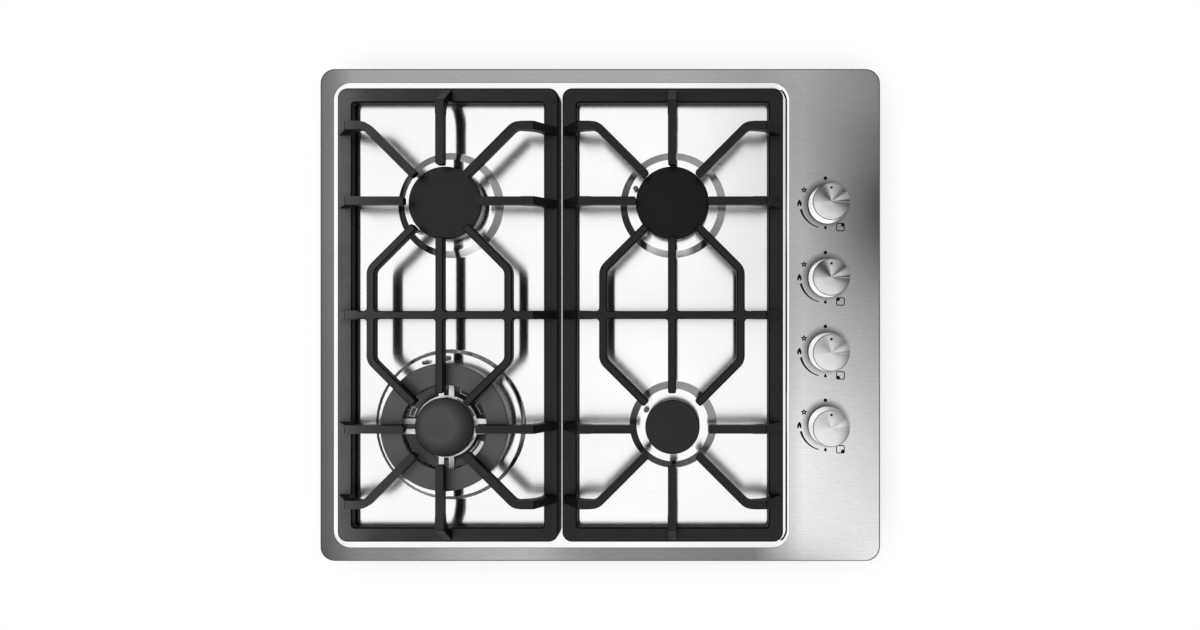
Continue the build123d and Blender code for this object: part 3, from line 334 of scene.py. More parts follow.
def makePanelSteel():
    finish, tree, shader = startFinish("brushedPanelSteel", steel["well"], 1.0, steel["rough"])
    shader.inputs["Anisotropic"].default_value = steel["anisotropy"]
    along = tree.nodes.new("ShaderNodeCombineXYZ")
    along.inputs["Y"].default_value = 1.0
    tree.links.new(along.outputs["Vector"], shader.inputs["Tangent"])
    streak = noiseOn(tree, steel["streak"], steel["streakStretch"], detail=6, rough=0.65)
    scratch = noiseOn(tree, steel["scratch"], steel["scratchStretch"], detail=3, rough=0.6)
    cloud = noiseOn(tree, steel["cloud"], steel["cloudStretch"], detail=3)
    x, y, z = splitOn(tree)
    # painted reflection: the border is darker than the well and the zone with the knobs
    across = spread(tree, x, 0.0, 1.0, -steel["halfWidth"], steel["halfWidth"])
    front, rear = toneRamp(tree, across, steel["frontPaintedReflection"]), toneRamp(tree, across, steel["rearPaintedReflection"])
    border = blendColours(tree, "MIX", spread(tree, y, 0.0, 1.0, steel["frontEnd"], steel["rearEnd"]), front, rear)
    # painted reflection greys of the zone with the knobs, from front to rear and from the well to the right edge
    rearwards = spread(tree, y, 0.0, 1.0, -steel["halfDepth"], steel["halfDepth"])
    inner, outer = toneRamp(tree, rearwards, steel["innerPaintedReflection"]), toneRamp(tree, rearwards, steel["outerPaintedReflection"])
    knobSide = blendColours(tree, "MIX", spread(tree, x, 0.0, 1.0, steel["zoneTo"], steel["zoneEdge"]), inner, outer)
    zone = spread(tree, x, 0.0, 1.0, steel["zoneFrom"], steel["zoneTo"])
    border = blendColours(tree, "MIX", zone, border, knobSide)
    scratchTone = tint(tree, scratch, (1 - steel["scratchDepth"],) * 3, (1.0,) * 3, 0.32, 0.60)
    border = blendColours(tree, "MULTIPLY", 1.0, border, scratchTone)
    level = spread(tree, z, 0.0, 1.0, steel["wellTop"], steel["borderTop"])
    ground = blendColours(tree, "MIX", level, steel["well"], border)
    streakTone = tint(tree, streak, (1 - steel["streakDepth"],) * 3, (1.0,) * 3, 0.3, 0.7)
    cloudTone = tint(tree, cloud, (steel["cloudTone"],) * 3, (1.0,) * 3, 0.35, 0.65)
    ground = blendColours(tree, "MULTIPLY", 1.0, ground, streakTone)
    ground = blendColours(tree, "MULTIPLY", 1.0, ground, cloudTone)
    knobs = steel["knobs"]
    # folding the row twice lays its four knobs on one place
    inRow = mathOn(tree, "ABSOLUTE", mathOn(tree, "SUBTRACT", y, knobs["behind"]), 0.0)
    inRow = mathOn(tree, "ABSOLUTE", mathOn(tree, "SUBTRACT", inRow, knobs["pitch"]), 0.0)
    beside = outlineDistance(tree, (x, inRow), (knobs["x"], knobs["pitch"] / 2), (0.0, 0.0), 0.0)
    contact = spread(tree, beside, knobs["tone"], 1.0, knobs["from"], knobs["to"])
    ground = blendColours(tree, "MULTIPLY", 1.0, ground, contact)
    # painted dark reflection on the outer bend
    rim = outlineDistance(tree, (x, y), (0.0, 0.0), steel["panelHalf"], steel["panelCorner"])
    rim = spread(tree, rim, 1.0, steel["bendPaintedReflection"], -steel["bend"], -steel["bend"] * steel["bendFade"])
    ground = blendColours(tree, "MULTIPLY", 1.0, ground, rim)
    tree.links.new(ground, shader.inputs["Base Color"])
    gloss = spread(tree, streak, steel["rough"] - steel["glossVary"], steel["rough"] + steel["glossVary"])
    aboveFloor = spread(tree, z, 0.0, 1.0, steel["slopeFrom"] - steel["slopeFade"], steel["slopeFrom"])
    underBoss = spread(tree, z, 1.0, 0.0, steel["slopeTo"], steel["slopeTo"] + steel["slopeFade"])
    slope = mathOn(tree, "MULTIPLY", aboveFloor, underBoss)
    gloss = mathOn(tree, "ADD", mathOn(tree, "MULTIPLY", gloss, mathOn(tree, "SUBTRACT", 1.0, slope)),
                   mathOn(tree, "MULTIPLY", slope, steel["slopeRough"]))
    tree.links.new(gloss, shader.inputs["Roughness"])
    outline = outlineDistance(tree, (x, y), steel["wellMiddle"], steel["wellHalf"], steel["wellCorner"])
    hidden = spread(tree, x, 0.0, steel["wallHidden"], steel["hiddenFrom"], steel["hiddenTo"])
    outline = mathOn(tree, "SUBTRACT", outline, hidden)
    wall = spread(tree, outline, 0.0, steel["wallTurn"], -steel["wallFrom"], -steel["wallTo"])
    wall = mathOn(tree, "MULTIPLY", wall, mathOn(tree, "SUBTRACT", 1.0, level))
    bumpFrom(tree, scratch, shader, steel["scratchHeight"], steel["scratchBump"], turnedUp(tree, wall))
    return finish


# cast iron with satin black enamel, with painted light: lighter on the left and darker to the right
iron = {
    "rough": 0.40, "specular": 0.26, "halfWidth": 290 * mm, "grain": 900, "patch": 40, "patchTone": 0.75,
    "grainHeight": 0.00005, "grainBump": 0.6,
    "paintedLightTones": (
        (0.0, 0.185), (0.05, 0.180), (0.10, 0.050), (0.25, 0.030), (0.40, 0.014), (0.55, 0.013), (0.80, 0.014),
        (1.0, 0.012),
    ),
}


def makeCastIron():
    finish, tree, shader = startFinish("satinCastIron", (0.03, 0.03, 0.03), 0.0, iron["rough"])
    shader.inputs["Specular IOR Level"].default_value = iron["specular"]
    grain = noiseOn(tree, iron["grain"], detail=3)
    patch = noiseOn(tree, iron["patch"], detail=3)
    x, y, z = splitOn(tree)
    # painted light: the iron is lighter on the left and darker to the right
    ground = toneRamp(tree, spread(tree, x, 0.0, 1.0, -iron["halfWidth"], iron["halfWidth"]), iron["paintedLightTones"])
    patchTone = tint(tree, patch, (iron["patchTone"],) * 3, (1.0,) * 3)
    tree.links.new(blendColours(tree, "MULTIPLY", 1.0, ground, patchTone), shader.inputs["Base Color"])
    tree.links.new(spread(tree, grain, iron["rough"] - 0.05, iron["rough"] + 0.08), shader.inputs["Roughness"])
    bumpFrom(tree, grain, shader, iron["grainHeight"], iron["grainBump"])
    return finish


# satin enamel of the burner caps, each given its own grey as painted light
enamel = {
    "rough": 0.34, "grain": 1400, "grainHeight": 0.00002, "grainBump": 0.4, "patch": 30,
    # grey and specular level of each cap: painted light, lit and shaded copies of one enamel
    "rear_left": (0.012, 0.28), "rear_right": (0.006, 0.16), "front_right": (0.016, 0.28),
    "front_left": (0.105, 0.20), "ring": (0.105, 0.50),
}


# painted sheen on the middle of the wok burner's cap, shaded towards its edge
capSheen = {
    "middle": (-161 * mm, -112 * mm), "radius": 33 * mm, "paintedLightTones": ((0.0, 1.7), (0.4, 1.3), (0.7, 0.5), (1.0, 0.06)),
}


def makeEnamel(place):
    tone, specular = enamel[place]
    finish, tree, shader = startFinish("capEnamel_" + place, (tone, tone, tone), 0.0, enamel["rough"])
    shader.inputs["Specular IOR Level"].default_value = specular
    grain = noiseOn(tree, enamel["grain"], detail=2)
    patch = noiseOn(tree, enamel["patch"], detail=2)
    ground = tint(tree, patch, (tone * 0.85,) * 3, (tone * 1.1,) * 3)
    # the wok burner's middle cap gets the painted sheen
    if place == "front_left":
        x, y, z = splitOn(tree)
        far = outlineDistance(tree, (x, y), capSheen["middle"], (0.0, 0.0), 0.0)
        paintedSheen = toneRamp(tree, spread(tree, far, 0.0, 1.0, 0.0, capSheen["radius"]), capSheen["paintedLightTones"])
        ground = blendColours(tree, "MULTIPLY", 1.0, ground, paintedSheen)
    tree.links.new(ground, shader.inputs["Base Color"])
    tree.links.new(spread(tree, patch, enamel["rough"] - 0.03, enamel["rough"] + 0.05), shader.inputs["Roughness"])
    bumpFrom(tree, grain, shader, enamel["grainHeight"], enamel["grainBump"])
    return finish


# turned knobs: fine rings round each axis, and a painted reflection in wedges
turned = {
    "colour": (0.86, 0.86, 0.855), "rough": 0.20, "anisotropy": 0.9, "rings": 2600,
    # painted reflection: grey round the axis, from -180 degrees to 180
    "paintedWedges": (
        (0.0, 0.60), (0.04, 0.85), (0.16, 0.80), (0.27, 0.78), (0.36, 0.66), (0.42, 0.50), (0.45, 0.34),
        (0.468, 0.26), (0.482, 0.26), (0.492, 0.60), (0.50, 0.70), (0.506, 0.05), (0.512, 0.03), (0.522, 0.80),
        (0.54, 1.0), (0.575, 0.98), (0.595, 0.40), (0.61, 0.16), (0.63, 0.35), (0.67, 0.75), (0.73, 0.95),
        (0.77, 0.85), (0.80, 0.40), (0.825, 0.12),
        (0.86, 0.08), (0.89, 0.12), (0.92, 0.26), (0.95, 0.40), (1.0, 0.60),
    ),
    # painted light: how much paler each knob's face is
    "paintedPale": {"rear_right": 0.06, "rear_left": 0.0, "front_left": 0.42, "front_right": 0.62}, "paintedPaleTone": 0.95,
    # the side below the face is plainer, without the painted wedges, and paler as a painted sheen
    "sideTop": 71.6 * mm, "sideFade": 0.4 * mm, "sideTone": 0.95, "sideTurn": 0.70,
    "ringHeight": 0.000006, "ringBump": 0.5, "ringTone": 0.93,
}


def makeTurnedMetal(x, y, place):
    finish, tree, shader = startFinish("turnedMetal_" + place, turned["colour"], 1.0, turned["rough"])
    shader.inputs["Anisotropic"].default_value = turned["anisotropy"]
    coord = tree.nodes.new("ShaderNodeTexCoord")
    mapping = tree.nodes.new("ShaderNodeMapping")
    mapping.inputs["Location"].default_value = (-x, -y, 0)
    tree.links.new(coord.outputs["Object"], mapping.inputs["Vector"])
    split = tree.nodes.new("ShaderNodeSeparateXYZ")
    tree.links.new(mapping.outputs["Vector"], split.inputs["Vector"])
    # radial direction, across the turning marks
    flat = tree.nodes.new("ShaderNodeCombineXYZ")
    tree.links.new(split.outputs["X"], flat.inputs["X"])
    tree.links.new(split.outputs["Y"], flat.inputs["Y"])
    outwards = tree.nodes.new("ShaderNodeVectorMath")
    outwards.operation = "NORMALIZE"
    tree.links.new(flat.outputs["Vector"], outwards.inputs[0])
    tree.links.new(outwards.outputs["Vector"], shader.inputs["Tangent"])
    length = tree.nodes.new("ShaderNodeVectorMath")
    length.operation = "LENGTH"
    tree.links.new(flat.outputs["Vector"], length.inputs[0])
    ring = tree.nodes.new("ShaderNodeCombineXYZ")
    tree.links.new(length.outputs["Value"], ring.inputs["X"])
    tree.links.new(split.outputs["Z"], ring.inputs["Z"])
    rings = tree.nodes.new("ShaderNodeTexNoise")
    rings.inputs["Scale"].default_value = turned["rings"]
    rings.inputs["Detail"].default_value = 2
    tree.links.new(ring.outputs["Vector"], rings.inputs["Vector"])
    turn = tree.nodes.new("ShaderNodeMath")
    turn.operation = "ARCTAN2"
    tree.links.new(split.outputs["Y"], turn.inputs[0])
    tree.links.new(split.outputs["X"], turn.inputs[1])
    # painted reflection in wedges round the axis, made paler on each knob by painted light
    paintedWedge = toneRamp(tree, spread(tree, turn.outputs["Value"], 0.0, 1.0, -math.pi, math.pi), turned["paintedWedges"])
    paintedWedge = blendColours(tree, "MIX", turned["paintedPale"][place], paintedWedge, (turned["paintedPaleTone"],) * 3)
    ground = blendColours(tree, "MULTIPLY", 1.0, turned["colour"], paintedWedge)
    ringTone = tint(tree, rings.outputs["Fac"], (turned["ringTone"],) * 3, (1.0,) * 3)
    ground = blendColours(tree, "MULTIPLY", 1.0, ground, ringTone)
    # painted sheen: the side is paler than the face
    side = spread(tree, split.outputs["Z"], 1.0, 0.0, turned["sideTop"] - turned["sideFade"], turned["sideTop"])
    ground = blendColours(tree, "MIX", side, ground, (turned["sideTone"],) * 3)
    tree.links.new(ground, shader.inputs["Base Color"])
    facing = turnedUp(tree, spread(tree, side, 0.0, turned["sideTurn"], 0.0, 1.0))
    bumpFrom(tree, rings.outputs["Fac"], shader, turned["ringHeight"], turned["ringBump"], facing)
    return finish


panelSteel = makePanelSteel()
castIron = makeCastIron()
# darker copy of the cast iron: painted shade on the grates' sides and edges
shadedIron = makeGrained("paintedShadeCastIron", (0.004, 0.004, 0.004), 0.0, 0.5, 900, vary=0.3, height=0.00004)
shadedIron.node_tree.nodes["Principled BSDF"].inputs["Specular IOR Level"].default_value = 0.10
castAluminium = makeGrained("blastedAluminium", (0.74, 0.74, 0.735), 1.0, 0.36, 1500, vary=0.10, height=0.00002)
# much darker grey than the other aluminium, for the trough floor
troughMetal = makeGrained("darkGreyAluminium", (0.07, 0.07, 0.07), 1.0, 0.36, 900, vary=0.12, height=0.00002)
drawnAluminium = makeGrained("drawnAluminium", (0.80, 0.80, 0.80), 1.0, 0.28, 500, (1, 1, 1), vary=0.06)
galvanised = makeGrained("galvanisedSheet", (0.52, 0.54, 0.56), 1.0, 0.40, 90, vary=0.16, roughVary=0.10)
zincPlate = makeGrained("zincPlate", (0.66, 0.66, 0.63), 1.0, 0.28, 400, vary=0.06)
machinedBrass = makeGrained("machinedBrass", (0.72, 0.53, 0.24), 1.0, 0.28, 600, (1, 6, 1), vary=0.08)
probeSteel = makeGrained("probeSteel", (0.50, 0.48, 0.46), 1.0, 0.34, 500, vary=0.15)
glazedCeramic = makeGrained("glazedCeramic", (0.40, 0.40, 0.39), 0.0, 0.22, 300, vary=0.10, height=0.00001)
blackFoam = makeGrained("closedCellFoam", (0.03, 0.03, 0.03), 0.0, 0.95, 700, vary=0.35, height=0.00020)
footRubber = makeGrained("footRubber", (0.022, 0.022, 0.022), 0.0, 0.75, 600, vary=0.2)
blackPlastic = makeGrained("blackPlastic", (0.025, 0.025, 0.026), 0.0, 0.42, 800, vary=0.15)
whitePlastic = makeGrained("whitePlastic", (0.78, 0.78, 0.76), 0.0, 0.40, 600, vary=0.04)
printInk = makeGrained("printInk", (0.006, 0.006, 0.006), 0.0, 0.60, 900, vary=0.2, height=0.000005)
printInk.node_tree.nodes["Principled BSDF"].inputs["Specular IOR Level"].default_value = 0.12
print("materials made")


# top panel
panelLook = {"smooth": 28, "flatten": 0.5, "flat": 0.99999}

panel = nodeCopy("top_panel", "topPanel", "cooktop", smooth=panelLook["smooth"], flatten=panelLook["flatten"])
clearSelection()
for face in panel.data.polygons:  # flat faces get a sharp rim, so that their shading stays even
    face.select = face.normal.z > panelLook["flat"]
workOn(panel)
bpy.ops.object.mode_set(mode="EDIT")
bpy.ops.mesh.select_mode(type="FACE")
bpy.ops.mesh.region_to_loop()
bpy.ops.mesh.mark_sharp()
leaveEdit()
smoothBy(panel, panelLook["smooth"], weighted=True)
dress(panel, panelSteel)
print("panel done")


# grates
grateLook = {
    "softEdge": 1.3 * mm, "steps": 3, "edgeAngle": 28, "smooth": 40, "flatten": 1.0,
    "sideUp": 0.25, "legUp": 0.60, "topUp": 0.93,  # how far a face of each kind looks up
}

for side in ("left", "right"):
    name = "grate_" + side
    grate = nodeCopy(name, "castGrate_" + side, name, smooth=grateLook["smooth"], flatten=grateLook["flatten"])
    modify(grate, "BEVEL", width=grateLook["softEdge"], segments=grateLook["steps"], limit_method="ANGLE",
           angle_limit=math.radians(grateLook["edgeAngle"]), use_clamp_overlap=True, miter_outer="MITER_ARC")
    smoothBy(grate, grateLook["smooth"], weighted=True)
    dress(grate, castIron)
    grate.data.materials.append(shadedIron)
    for face in grate.data.polygons:
        # painted shade: sides, chamfers and soft edges get the darker copy of the iron, unlike the tops and the
        # leaning legs
        if face.normal.z < grateLook["sideUp"] or grateLook["legUp"] < face.normal.z < grateLook["topUp"]:
            face.material_index = len(grate.data.materials) - 1
    dress(nodes["grate_feet_" + side], footRubber)
print("grates done")


# burners
burnerLook = {"capSmooth": 35, "smooth": 30, "rodSmooth": 40}

for place in ("rear_left", "rear_right", "front_left", "front_right"):
    name = "burner_cap_" + place
    cap = nodeCopy(name, "enamelCap_" + place, name, smooth=burnerLook["capSmooth"])
    dress(cap, makeEnamel(place))
    name = "burner_head_" + place
    head = nodeCopy(name, "flameRing_" + place, name, smooth=burnerLook["smooth"])
    dress(head, castAluminium)
    cup = nodeCopy("burner_cup_" + place, "burnerCup_" + place, "cooktop", smooth=burnerLook["smooth"])
    dress(cup, castAluminium)
name = "burner_ring_cap_front_left"
ringCap = nodeCopy(name, "enamelRingCap", name, smooth=burnerLook["capSmooth"])
dress(ringCap, makeEnamel("ring"))

# sloped floor of the gap between the ring and the middle pot, in millimetres
# a slot is given by its first and last angle and its nearest and farthest radius
trough = {
    "x": -156.25, "y": -114.0, "inner": 32.2, "outer": 42.7, "low": 50.5, "high": 53.6, "thick": 0.6, "tube": 0.5,
    "slots": ((52, 69, 36.6, 41.2), (19, 37, 36.6, 41.2), (-58, -24, 35.2, 36.4), (150, 164, 35.5, 40.0)),
    "plate": (-46, -23, 38.0, 42.0), "steps": 8, "round": 128,
}


def troughHeight(radius):
    part = (radius - trough["inner"]) / (trough["outer"] - trough["inner"])
    return trough["low"] + part * (trough["high"] - trough["low"])


def sectorPoints(start, end, near, far):
    steps = trough["steps"]
    angles = [math.radians(start + (end - start) * i / steps) for i in range(steps + 1)]
    sides = [(far, angle) for angle in angles] + [(near, angle) for angle in angles[::-1]]
    return [
        (
            (trough["x"] + radius * math.cos(angle)) * mm,
            (trough["y"] + radius * math.sin(angle)) * mm,
            (troughHeight(radius) + trough["thick"] / 2) * mm,
        )
        for radius, angle in sides
    ]


def loopOf(points, fill):
    clearSelection()
    bpy.ops.mesh.primitive_circle_add(vertices=len(points), radius=1 * mm, fill_type=fill, location=(0, 0, 0))
    loop = bpy.context.object
    for vertex, point in zip(loop.data.vertices, points):
        vertex.co = point
    return loop


clearSelection()
bpy.ops.mesh.primitive_cone_add(
    vertices=trough["round"], radius1=trough["outer"] * mm, radius2=trough["inner"] * mm,
    depth=(trough["high"] - trough["low"]) * mm, end_fill_type="NOTHING", rotation=(0, 0, 0),
    location=(trough["x"] * mm, trough["y"] * mm, (trough["high"] + trough["low"]) / 2 * mm),
)
troughFloor = bpy.context.object
troughFloor.name = "troughFloor"
troughFloor.scale.z = -1
settle(troughFloor)
editAll(troughFloor)
bpy.ops.mesh.normals_make_consistent(inside=False)
leaveEdit()
modify(troughFloor, "SOLIDIFY", thickness=trough["thick"] * mm, offset=0.0)
smoothBy(troughFloor, 30)
dress(troughFloor, troughMetal)
slots = []
for slot in trough["slots"]:
    loop = loopOf(sectorPoints(*slot), "NOTHING")
    bpy.ops.object.convert(target="CURVE")
    loop = bpy.context.object
    loop.data.bevel_depth = trough["tube"] * mm
    loop.data.bevel_resolution = 2
    bpy.ops.object.convert(target="MESH")
    slots.append(bpy.context.object)
plate = loopOf(sectorPoints(*trough["plate"]), "NGON")
modify(plate, "SOLIDIFY", thickness=trough["thick"] * mm, offset=0.0)
slotRims = joinInto(slots[0], slots[1:] + [plate], "slotRims")
smoothBy(slotRims, 40)
dress(slotRims, drawnAluminium)
for piece in (troughFloor, slotRims):
    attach(piece, "burner_head_front_left")

sparks = nodeCopy("spark_electrodes", "sparkElectrodes", "cooktop", smooth=burnerLook["rodSmooth"])
dress(sparks, glazedCeramic)
probes = nodeCopy("thermocouples", "flameProbes", "cooktop", smooth=burnerLook["rodSmooth"])
dress(probes, probeSteel)
print("burners done")


# knobs
knobShape = {
    "x": 235 * mm,
    "y": {"rear_right": 114 * mm, "rear_left": 38 * mm, "front_left": -38 * mm, "front_right": -114 * mm},
    "bottom": 48.6 * mm, "top": 73.6 * mm, "radius": 19.8 * mm, "shoulder": 18.6 * mm,
    "face": 17.6 * mm, "faceFall": 0.7 * mm,
    "wall": 2.5 * mm, "hub": 7 * mm, "bore": 4.1 * mm, "boreTop": 65.7 * mm, "steps": 96,
    "markOut": 13.8 * mm, "markRadius": 1.3 * mm, "markDepth": 0.5 * mm, "markSunk": 0.18 * mm,
}


def makeKnob(place):
    x, y = knobShape["x"], knobShape["y"][place]
    low, top = knobShape["bottom"], knobShape["top"]
    outer, face, fall = knobShape["radius"], knobShape["face"], knobShape["faceFall"]
    shoulder, side = top - fall, knobShape["shoulder"]
    inside, ceiling = outer - knobShape["wall"], top - 2 * knobShape["wall"]
    profile = [
        (0.0, top), (face * 0.5, top - fall * 0.5), (face, shoulder), (face + 0.4 * mm, shoulder - 0.15 * mm),
        (side - 0.1 * mm, shoulder - 0.6 * mm), (side, shoulder - 1.2 * mm), (outer, low + 0.5 * mm),
        (outer - 0.5 * mm, low), (inside, low), (inside, ceiling),
        (knobShape["hub"], ceiling), (knobShape["hub"], low), (knobShape["bore"], low),
        (knobShape["bore"], knobShape["boreTop"]), (0.0, knobShape["boreTop"]),
    ]
    clearSelection()
    bpy.ops.mesh.primitive_plane_add(size=0.01, location=(0, 0, 0))
    knob = bpy.context.object
    editAll(knob)
    bpy.ops.mesh.delete(type="ONLY_FACE")
    bpy.ops.mesh.select_all(action="SELECT")
    bpy.ops.mesh.merge(type="CENTER")
    leaveEdit()
    # the profile grows point by point from the merged vertex
    knob.data.vertices[0].co = (profile[0][0], 0, profile[0][1])
    editAll(knob)
    for before, after in zip(profile, profile[1:]):
        bpy.ops.mesh.extrude_region_move(
            TRANSFORM_OT_translate={"value": (after[0] - before[0], 0, after[1] - before[1])}
        )
    bpy.ops.mesh.select_all(action="SELECT")
    bpy.ops.mesh.spin(
        steps=knobShape["steps"], angle=2 * math.pi, center=(0, 0, 0), axis=(0, 0, 1), use_auto_merge=True
    )
    bpy.ops.mesh.select_all(action="SELECT")
    bpy.ops.mesh.remove_doubles(threshold=0.000002)
    bpy.ops.mesh.normals_make_consistent(inside=False)
    leaveEdit()
    knob.location = (x, y, 0)
    knob.name = "turnedKnob_" + place
    settle(knob)
    smoothBy(knob, 32)
    dress(knob, makeTurnedMetal(x, y, place))
    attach(knob, "knob_" + place)
    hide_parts("knob_" + place)
    # black dot in the face
    clearSelection()
    fallHere = fall * knobShape["markOut"] / face  # the face is a shallow cone
    bpy.ops.mesh.primitive_cylinder_add(
        vertices=32, radius=knobShape["markRadius"], depth=knobShape["markDepth"],
        location=(x, y + knobShape["markOut"], top - fallHere - knobShape["markSunk"]),
    )
    dot = settle(bpy.context.object)
    dot.name = "knobDot_" + place
    smoothBy(dot, 40)
    dress(dot, printInk)
    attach(dot, "knob_" + place)


for place in knobShape["y"]:
    makeKnob(place)
print("knobs done")


# printed marks round each knob, in millimetres from the dial's middle
marks = {
    "level": 45.0 * mm, "sunk": 0.02 * mm, "thick": 0.05 * mm, "across": -1.8,
    # how far the dial's middle lies behind the knob's axis
    "behind": {"rear_right": 2.0, "rear_left": 1.0, "front_left": 0.5, "front_right": 0.0},
    "dot": {"at": (0, 25.7), "radius": 1.9},
    "star": {"at": (-22.1, 13.4), "radius": 3.6, "inner": 0.5, "line": 1.2},
    "flame": {"at": (-26.9, -0.2), "width": 4.8, "height": 6.9, "line": 1.7, "hollow": 0.36},
    "smallFlame": {"at": (0, -25.4), "width": 3.0, "height": 3.9},
    "arc": {"from": 194.0, "to": 255.0, "radius": 26.2, "wide": 2.4, "thin": 0.9},
    "square": {"at": (15.6, -25.0), "size": (9.0, 8.7), "line": 1.0, "corner": 2.0, "spot": 1.95, "spotInset": 2.1},
}
spotCorner = {"rear_right": (1, 1), "rear_left": (-1, 1), "front_left": (-1, -1), "front_right": (1, -1)}


def flatMark(name, corners, x, y):  # an n-gon in plan, raised by the print's thickness
    clearSelection()
    bpy.ops.mesh.primitive_circle_add(vertices=len(corners), radius=1 * mm, fill_type="NGON", location=(0, 0, 0))
    mark = bpy.context.object
    mark.name = name
    for vertex, corner in zip(mark.data.vertices, corners):
        vertex.co = ((x + corner[0]) * mm, (y + corner[1]) * mm, marks["level"] - marks["sunk"])
    editAll(mark)
    bpy.ops.mesh.select_mode(type="FACE")
    bpy.ops.mesh.select_all(action="SELECT")
    bpy.ops.mesh.normals_make_consistent(inside=False)
    return mark


def raiseMark(mark):
    bpy.ops.mesh.select_all(action="SELECT")
    bpy.ops.mesh.extrude_region_move(TRANSFORM_OT_translate={"value": (0, 0, marks["thick"])})
    bpy.ops.mesh.select_all(action="SELECT")
    bpy.ops.mesh.normals_make_consistent(inside=False)
    leaveEdit()
    return mark


def openMark(mark, line):  # leaves only an outline of the given width
    bpy.ops.mesh.select_all(action="SELECT")
    bpy.ops.mesh.inset(thickness=line * mm, use_even_offset=True)
    bpy.ops.mesh.delete(type="FACE")
    bpy.ops.mesh.select_all(action="SELECT")


def circlePoints(radius, count, turn=0.0):
    return [
        (radius * math.cos(turn + 2 * math.pi * i / count), radius * math.sin(turn + 2 * math.pi * i / count))
        for i in range(count)
    ]


def starPoints(radius, inner):
    points = []
    for i in range(10):
        reach = radius if i % 2 == 0 else radius * inner
        angle = math.pi / 2 + math.pi * i / 5
        points.append((reach * math.cos(angle), reach * math.sin(angle)))
    return points


def flamePoints(width, height, line=0.0, rise=0.6):  # with a line width, a flame that is hollow and open below
    outer, hollow = [], []
    for i in range(13):
        t = i / 12
        reach = width / 2 * (1 - t) ** 0.75 * (1 + 0.9 * t) * (0.72 + 0.28 * min(1, t / 0.25))
        outer.append((reach, height * (t - 0.45)))
    points = outer + [(-a, b) for a, b in outer[-2::-1]]
    if line > 0:
        for i in range(11):
            turn = math.pi * i / 10
            hollow.append(((line - width / 2) * 0.9 * math.cos(turn), height * (rise * math.sin(turn) - 0.45)))
        points += hollow
    return points


def roundedSquare(wide, tall, radius, count=5):
    points = []
    for cornerX, cornerY, start in ((1, 1, 0), (-1, 1, 90), (-1, -1, 180), (1, -1, 270)):
        for i in range(count):
            angle = math.radians(start + 90 * i / (count - 1))
            points.append((
                cornerX * (wide / 2 - radius) + radius * math.cos(angle),
                cornerY * (tall / 2 - radius) + radius * math.sin(angle),
            ))
    return points


def taperedArc(arc, count=28):
    outer, inner = [], []
    for i in range(count + 1):
        t = i / count
        angle = math.radians(arc["from"] + (arc["to"] - arc["from"]) * t)
        half = (arc["wide"] + (arc["thin"] - arc["wide"]) * t) / 2
        outer.append(((arc["radius"] + half) * math.cos(angle), (arc["radius"] + half) * math.sin(angle)))
        inner.append(((arc["radius"] - half) * math.cos(angle), (arc["radius"] - half) * math.sin(angle)))
    return outer + inner[::-1]


def shifted(points, at):
    return [(px + at[0], py + at[1]) for px, py in points]


for place, dialY in knobShape["y"].items():
    x, y = knobShape["x"] / mm + marks["across"], dialY / mm + marks["behind"][place]
    made = []
    dot = marks["dot"]
    made.append(raiseMark(flatMark("mark", shifted(circlePoints(dot["radius"], 28), dot["at"]), x, y)))
    star = marks["star"]
    mark = flatMark("mark", shifted(starPoints(star["radius"], star["inner"]), star["at"]), x, y)
    openMark(mark, star["line"])
    made.append(raiseMark(mark))
    flame = marks["flame"]
    outline = flamePoints(flame["width"], flame["height"], flame["line"], flame["hollow"])
    made.append(raiseMark(flatMark("mark", shifted(outline, flame["at"]), x, y)))
    flame = marks["smallFlame"]
    made.append(raiseMark(flatMark("mark", shifted(flamePoints(flame["width"], flame["height"]), flame["at"]), x, y)))
    made.append(raiseMark(flatMark("mark", taperedArc(marks["arc"]), x, y)))
    square = marks["square"]
    wide, tall = square["size"]
    mark = flatMark("mark", shifted(roundedSquare(wide, tall, square["corner"]), square["at"]), x, y)
    openMark(mark, square["line"])
    made.append(raiseMark(mark))
    cornerX, cornerY = spotCorner[place]
    inset = square["spotInset"]
    spotAt = (square["at"][0] + cornerX * (wide / 2 - inset), square["at"][1] + cornerY * (tall / 2 - inset))
    made.append(raiseMark(flatMark("mark", shifted(circlePoints(square["spot"], 24), spotAt), x, y)))
    dial = joinInto(made[0], made[1:], "dialPrint_" + place)
    dress(dial, printInk)
    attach(dial, "cooktop")
print("dial marks done")


# the rest keeps its CAD shape
plain = {
    "edge_seal": blackFoam, "bottom_tray": galvanised, "support_posts": zincPlate, "tray_screws": zincPlate,
    "clamp_screws": zincPlate, "gas_injectors": machinedBrass, "gas_rail": zincPlate, "rail_brackets": galvanised,
    "rail_locknut": machinedBrass, "gas_inlet": machinedBrass, "cable_gland": blackPlastic,
    "gas_tubes": drawnAluminium, "spark_module": whitePlastic, "ignition_switches": whitePlastic,
}
for place in ("front_left", "front_right", "rear_left", "rear_right"):
    plain["clamp_" + place] = galvanised
for place in knobShape["y"]:
    plain["valve_body_" + place] = castAluminium
    plain["valve_plug_" + place] = machinedBrass
    plain["valve_stem_" + place] = zincPlate
for node, finish in plain.items():
    dress(nodes[node], finish)
print("CAD nodes dressed")


# springs under the stems' collars, each copied with a mesh of its own; nothing here flattens them as the knobs are
# pushed in
springShape = {"travel": 3.0 * mm, "smooth": 60}


def makeSpring(place):
    node = "stem_spring_" + place
    spring = nodeCopy(node, "spring_" + place, "valve_plug_" + place, smooth=springShape["smooth"])
    dress(spring, zincPlate)
    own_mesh(spring)


for place in knobShape["y"]:
    makeSpring(place)
print("springs done")


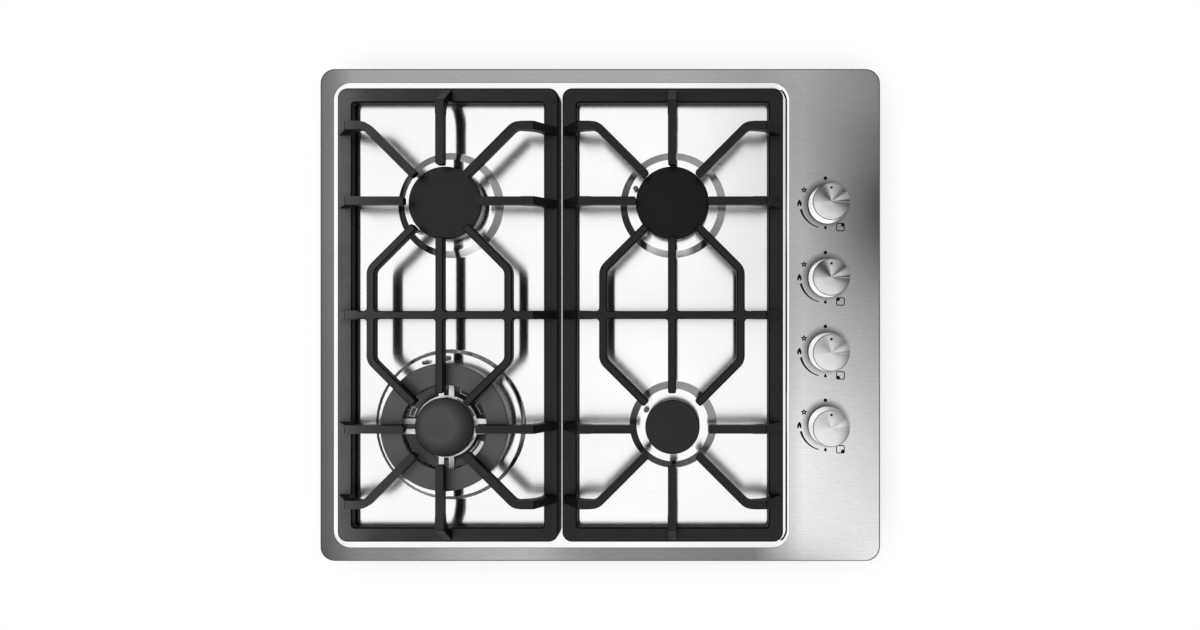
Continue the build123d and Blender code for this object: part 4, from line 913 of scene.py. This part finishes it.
# floor, light and world
studio = {
    "floor": (0.93, 0.93, 0.93), "floorSize": 12, "floorRough": 0.9, "floorLift": 0.50, "horizon": 0.05,
    # bright part of the sky, as tilts from straight up: tangents along X and Y, each rising and falling
    "key": {"tone": 1.12, "left": (-1.2, -0.8), "right": (0.35, 0.65), "front": (-1.6, -1.1), "rear": (0.65, 1.0)},
    # dark card over the right rear, mirrored in the zone with the knobs
    "card": {"depth": 0.6, "across": (-0.02, 0.24), "along": (-0.15, 0.15)},
    "side": {"dark": 0.03, "light": 0.34, "from": -1.0, "to": 1.1},
}

clearSelection()
bpy.ops.mesh.primitive_plane_add(size=studio["floorSize"], location=(0, 0, 0))
floor = bpy.context.object
floor.name = "studioFloor"
floorPaint, tree, shader = startFinish("palePaper", studio["floor"], 0.0, studio["floorRough"])
shader.inputs["Specular IOR Level"].default_value = 0.0
light = tree.nodes.new("ShaderNodeLightPath")
glow = tree.nodes.new("ShaderNodeMath")
glow.operation = "MULTIPLY"
glow.inputs[1].default_value = studio["floorLift"]
tree.links.new(light.outputs["Is Camera Ray"], glow.inputs[0])
shader.inputs["Emission Color"].default_value = (1, 1, 1, 1)
tree.links.new(glow.outputs["Value"], shader.inputs["Emission Strength"])
dress(floor, floorPaint)


world = bpy.data.worlds.new("studioWorld")
bpy.context.scene.world = world
world.use_nodes = True
tree = world.node_tree
background = tree.nodes["Background"]
x, y, z = splitOn(tree, "Generated")
height = mathOn(tree, "MAXIMUM", z, studio["horizon"])
key, card, around = studio["key"], studio["card"], studio["side"]
tiltX, tiltY = mathOn(tree, "DIVIDE", x, height), mathOn(tree, "DIVIDE", y, height)
part = 1.0
for tilt, low, high in ((tiltX, key["left"], key["right"]), (tiltY, key["front"], key["rear"])):
    part = mathOn(tree, "MULTIPLY", part, spread(tree, tilt, 0.0, 1.0, *low))
    part = mathOn(tree, "MULTIPLY", part, spread(tree, tilt, 1.0, 0.0, *high))
across, along = spread(tree, tiltX, 0.0, 1.0, *card["across"]), spread(tree, tiltY, 0.0, 1.0, *card["along"])
shade = mathOn(tree, "MULTIPLY", across, along)
shade = spread(tree, shade, key["tone"], key["tone"] * (1 - card["depth"]), 0.0, 1.0)
sideTone = tint(tree, spread(tree, mathOn(tree, "ADD", x, y), 0.0, 1.0, around["from"], around["to"]),
                (around["dark"],) * 3, (around["light"],) * 3, 0.0, 1.0)
sky = blendColours(tree, "MIX", part, sideTone, shade)
light = tree.nodes.new("ShaderNodeLightPath")
seen = blendColours(tree, "MIX", light.outputs["Is Camera Ray"], sky, (1.0, 1.0, 1.0))
tree.links.new(seen, background.inputs["Color"])
bpy.context.scene.view_settings.view_transform = "Standard"
print("studio done")
